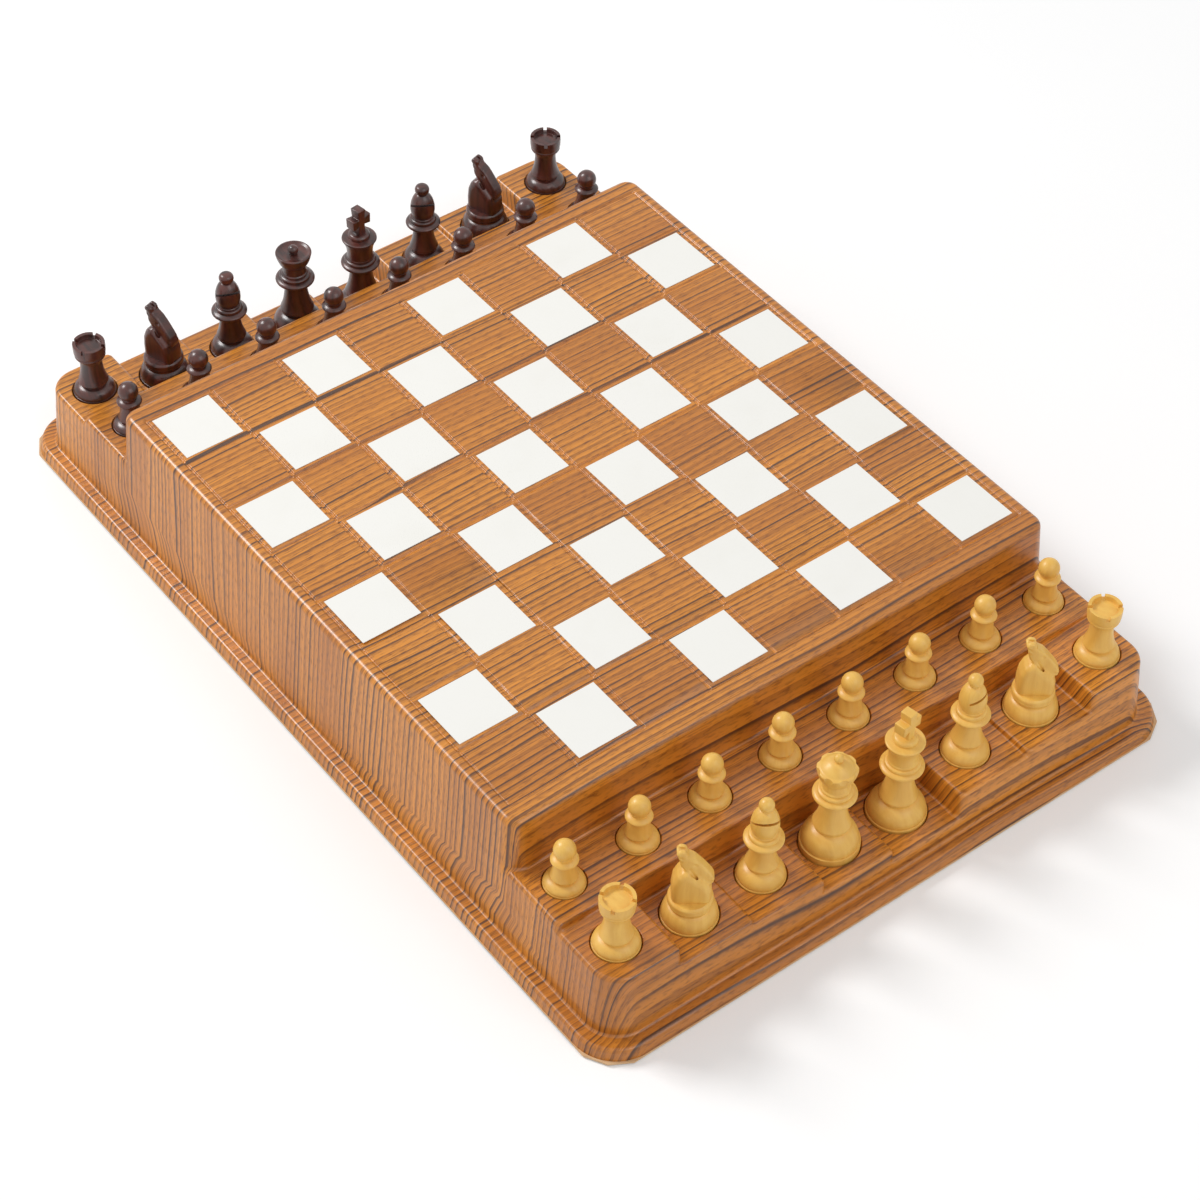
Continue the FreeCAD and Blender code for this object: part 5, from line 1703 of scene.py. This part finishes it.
@dataclass
class Studio:
    """Camera, floor and soft lights."""

    camera_place: tuple = (-0.63898, -0.82844, 1.08270)
    aim: tuple = (-0.04526, -0.07785, 0.0770)
    roll: float = math.radians(1.4538)
    lens: float = 89.2747
    sensor: float = 36.0
    floor_half: float = 6.0
    near_floor: float = 0.40
    far_floor: float = 1.20
    white: Colour = (1.0, 1.0, 1.0)
    ambient: float = 0.50
    lift: float = 0.10
    paper: Colour = (0.955, 0.955, 0.955)
    paper_pale: Colour = (0.97, 0.97, 0.97)
    lamp_aim: tuple = (0.0, 0.0, 0.05)
    lamps: tuple = (
        Lamp("key_light", (-0.95, 1.60, 1.80), 0.8, 37.0),
        Lamp("front_light", (0.25, -1.55, 1.55), 1.4, 9.5),
    )

    def build(self) -> None:
        """Make the camera, the lights, the world and the floor."""
        self.add_camera()
        self.add_world()
        self.add_floor()
        for lamp in self.lamps:
            self.add_lamp(lamp)
        bpy.context.scene.view_settings.view_transform = "Standard"

    def add_camera(self) -> None:
        """Camera at the photograph's place and angle."""
        data = bpy.data.cameras.new("camera")
        data.lens = self.lens
        data.sensor_fit = "HORIZONTAL"
        data.sensor_width = self.sensor
        data.clip_end = 50.0
        camera = bpy.data.objects.new("camera", data)
        place = Vector(self.camera_place)
        turn = (Vector(self.aim) - place).to_track_quat("-Z", "Y").to_matrix().to_4x4()
        camera.matrix_world = Matrix.Translation(place) @ turn @ Matrix.Rotation(self.roll, 4, "Z")
        bpy.context.scene.collection.objects.link(camera)
        bpy.context.scene.camera = camera

    def add_lamp(self, lamp: Lamp) -> None:
        """Hang a soft light.

        Args:
            lamp: which.
        """
        data = bpy.data.lights.new(lamp.name, "AREA")
        data.shape = "SQUARE"
        data.size = lamp.size
        data.energy = lamp.power
        light = bpy.data.objects.new(lamp.name, data)
        place = Vector(lamp.place)
        turn = (Vector(self.lamp_aim) - place).to_track_quat("-Z", "Y").to_matrix().to_4x4()
        light.matrix_world = Matrix.Translation(place) @ turn
        bpy.context.scene.collection.objects.link(light)

    def add_world(self) -> None:
        """White surroundings for the camera and soft grey light for the object."""
        world = bpy.data.worlds.new("surroundings")
        s = Shader(world)
        path = s.node("ShaderNodeLightPath").outputs
        seen = Value(s, path["Is Camera Ray"]).math("MAXIMUM", Value(s, path["Is Glossy Ray"]))
        seen = seen.math("MAXIMUM", Value(s, path["Is Transmission Ray"]))
        soft = s.node("ShaderNodeBackground", None, {"Color": self.white, "Strength": self.ambient})
        plain = s.node("ShaderNodeBackground", None, {"Color": self.white, "Strength": 1.0})
        both = s.node("ShaderNodeMixShader", None, {0: seen, 1: soft.outputs[0], 2: plain.outputs[0]})
        last = next(n for n in s.tree.nodes if n.type == "OUTPUT_WORLD")
        s.feed(last.inputs["Surface"], both.outputs[0])
        bpy.context.scene.world = world

    def add_floor(self) -> None:
        """Plain pale floor that goes over into the white of the surroundings."""
        half = self.floor_half
        mesh = bpy.data.meshes.new("floor")
        corners = [(-half, -half, 0), (half, -half, 0), (half, half, 0), (-half, half, 0)]
        mesh.from_pydata(corners, [], [(0, 1, 2, 3)])
        floor = bpy.data.objects.new("floor", mesh)
        s = Shader(bpy.data.materials.new("floor_paper"))
        tone = s.mixed(s.noise(s.local(), 3.0).ramp(0.3, 0.7), self.paper, self.paper_pale)
        path = s.node("ShaderNodeLightPath").outputs
        seen = Value(s, path["Is Camera Ray"]).math("MAXIMUM", Value(s, path["Is Glossy Ray"]))
        paper = s.finish(
            Base_Color=tone, Roughness=0.9, Specular_IOR_Level=0.1, Emission_Color=path["Is Camera Ray"],
            Emission_Strength=self.lift,
        )
        x, y = s.part(s.local(), Axis.X), s.part(s.local(), Axis.Y)
        far = (x * x + y * y).math("SQRT").ramp(self.near_floor, self.far_floor)
        glow = s.node("ShaderNodeEmission", None, {"Color": self.white, "Strength": 1.0})
        shaders = {0: far * seen, 1: s.surface.outputs[0], 2: glow.outputs[0]}
        both = s.node("ShaderNodeMixShader", None, shaders)
        last = next(n for n in s.tree.nodes if n.type == "OUTPUT_MATERIAL")
        s.feed(last.inputs["Surface"], both.outputs[0])
        mesh.materials.append(paper)
        bpy.context.scene.collection.objects.link(floor)


BOXWOOD = TurnedWood(
    "boxwood", pale=(0.87, 0.53, 0.115), deep=(0.80, 0.45, 0.085), pore=(0.60, 0.30, 0.05),
    roughness=0.40, coat=0.10, pore_share=0.15,
)
ROSEWOOD = TurnedWood(
    "rosewood", pale=(0.105, 0.024, 0.016), deep=(0.030, 0.009, 0.007), pore=(0.010, 0.004, 0.004),
    roughness=0.32, coat=0.35, pore_share=0.6,
)
RAW_EDGE = PlainFinish("raw_edge", (0.62, 0.36, 0.17), (0.74, 0.50, 0.28), 0.7)
MAGNET = PlainFinish("magnet_face", (0.07, 0.07, 0.075), (0.11, 0.11, 0.115), 0.5)

NODE_FINISHES = {
    "base_plate": PlainFinish(
        "hardboard", (0.20, 0.11, 0.055), (0.26, 0.15, 0.08), 0.75, 60.0, 1500.0, 0.0001
    ),
    "base_screws": PlainFinish(
        "zinc_steel", (0.55, 0.55, 0.56), (0.68, 0.67, 0.64), 0.35, 300.0, metallic=1.0
    ),
    "rubber_feet": PlainFinish("black_rubber", (0.018, 0.018, 0.018), (0.035, 0.034, 0.033), 0.8),
    "support_posts": PlainFinish(
        "pine", (0.62, 0.42, 0.22), (0.72, 0.53, 0.31), 0.7, stretch=(1.0, 1.0, 0.08)
    ),
    "shelf_blocks": PlainFinish(
        "pine_blocks", (0.60, 0.40, 0.21), (0.70, 0.51, 0.30), 0.7, stretch=(0.08, 1.0, 1.0)
    ),
    "sensor_board": PlainFinish("board_green", (0.02, 0.13, 0.05), (0.03, 0.18, 0.07), 0.4),
    "reed_switches": PlainFinish("reed_glass", (0.35, 0.45, 0.36), (0.50, 0.58, 0.48), 0.2),
    "main_board": PlainFinish("main_green", (0.02, 0.13, 0.05), (0.03, 0.18, 0.07), 0.4),
    "main_chips": PlainFinish("chip_resin", (0.015, 0.015, 0.017), (0.035, 0.035, 0.038), 0.55),
    "board_spacers": PlainFinish("nylon", (0.70, 0.68, 0.62), (0.78, 0.76, 0.71), 0.5),
    "ribbon_cable": PlainFinish(
        "ribbon_grey", (0.38, 0.38, 0.39), (0.48, 0.48, 0.49), 0.5, stretch=(30.0, 1.0, 1.0)
    ),
    "ribbon_connectors": PlainFinish("connector_black", (0.02, 0.02, 0.022), (0.04, 0.04, 0.043), 0.5),
    "speaker_frame": PlainFinish(
        "pressed_steel", (0.45, 0.44, 0.40), (0.56, 0.54, 0.47), 0.4, metallic=1.0
    ),
    "speaker_magnet": PlainFinish("ferrite", (0.05, 0.05, 0.053), (0.09, 0.09, 0.093), 0.7),
    "speaker_cone": PlainFinish("cone_paper", (0.035, 0.032, 0.030), (0.06, 0.056, 0.052), 0.9),
    "battery_case": PlainFinish("case_black", (0.02, 0.02, 0.022), (0.038, 0.038, 0.04), 0.55),
    "battery_cells": PlainFinish("cell_jacket", (0.16, 0.17, 0.20), (0.24, 0.25, 0.28), 0.35),
    "battery_contacts": PlainFinish(
        "contact_spring", (0.60, 0.60, 0.60), (0.72, 0.71, 0.69), 0.3, metallic=1.0
    ),
    "battery_door": PlainFinish("door_black", (0.02, 0.02, 0.022), (0.04, 0.04, 0.042), 0.55),
    "door_rails": PlainFinish("rail_black", (0.02, 0.02, 0.022), (0.04, 0.04, 0.042), 0.55),
    "power_switch": PlainFinish("switch_black", (0.02, 0.02, 0.022), (0.04, 0.04, 0.042), 0.5),
    "switch_knob": PlainFinish("knob_ivory", (0.66, 0.62, 0.52), (0.74, 0.70, 0.61), 0.45),
}


def dress_node(name: str, material: bpy.types.Material) -> None:
    """Give a CAD node a material.

    Args:
        name: the node.
        material: its finish.
    """
    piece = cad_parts[name]
    if not piece.material_slots:
        piece.data.materials.append(material)
    for slot in piece.material_slots:
        slot.material = material
    LOG.info("%s: %s", name, material.name)


def main() -> None:
    """Build the board and its pieces round the frame."""
    logging.basicConfig(level=logging.INFO)
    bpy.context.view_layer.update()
    Studio().build()
    shell = FormedShell()
    piece = shell.build(GrainedSheet().material())
    LOG.info("%s: %d faces", piece.name, len(piece.data.polygons))
    dress_node("white_squares", WhiteTile().material())
    for name, finish in NODE_FINISHES.items():
        dress_node(name, finish.material())
    lip = TrimLip(shell).build(RAW_EDGE.material())
    LOG.info("%s: %d faces", lip.name, len(lip.data.polygons))
    magnet = MAGNET.material()
    forms = PieceForms()
    Army(
        forms, "white", side=-1, slot="boxwood", wood=BOXWOOD.material(), magnet=magnet, knight_turn=-37.0,
        bishop_turns=(-120.0, -65.0), plain_tops=False, shell=shell,
    ).build()
    Army(
        forms, "dark", side=1, slot="rosewood", wood=ROSEWOOD.material(), magnet=magnet, knight_turn=-72.0,
        bishop_turns=(-110.0, -120.0), plain_tops=True, shell=shell,
    ).build()


if __name__ == "__main__":
    main()
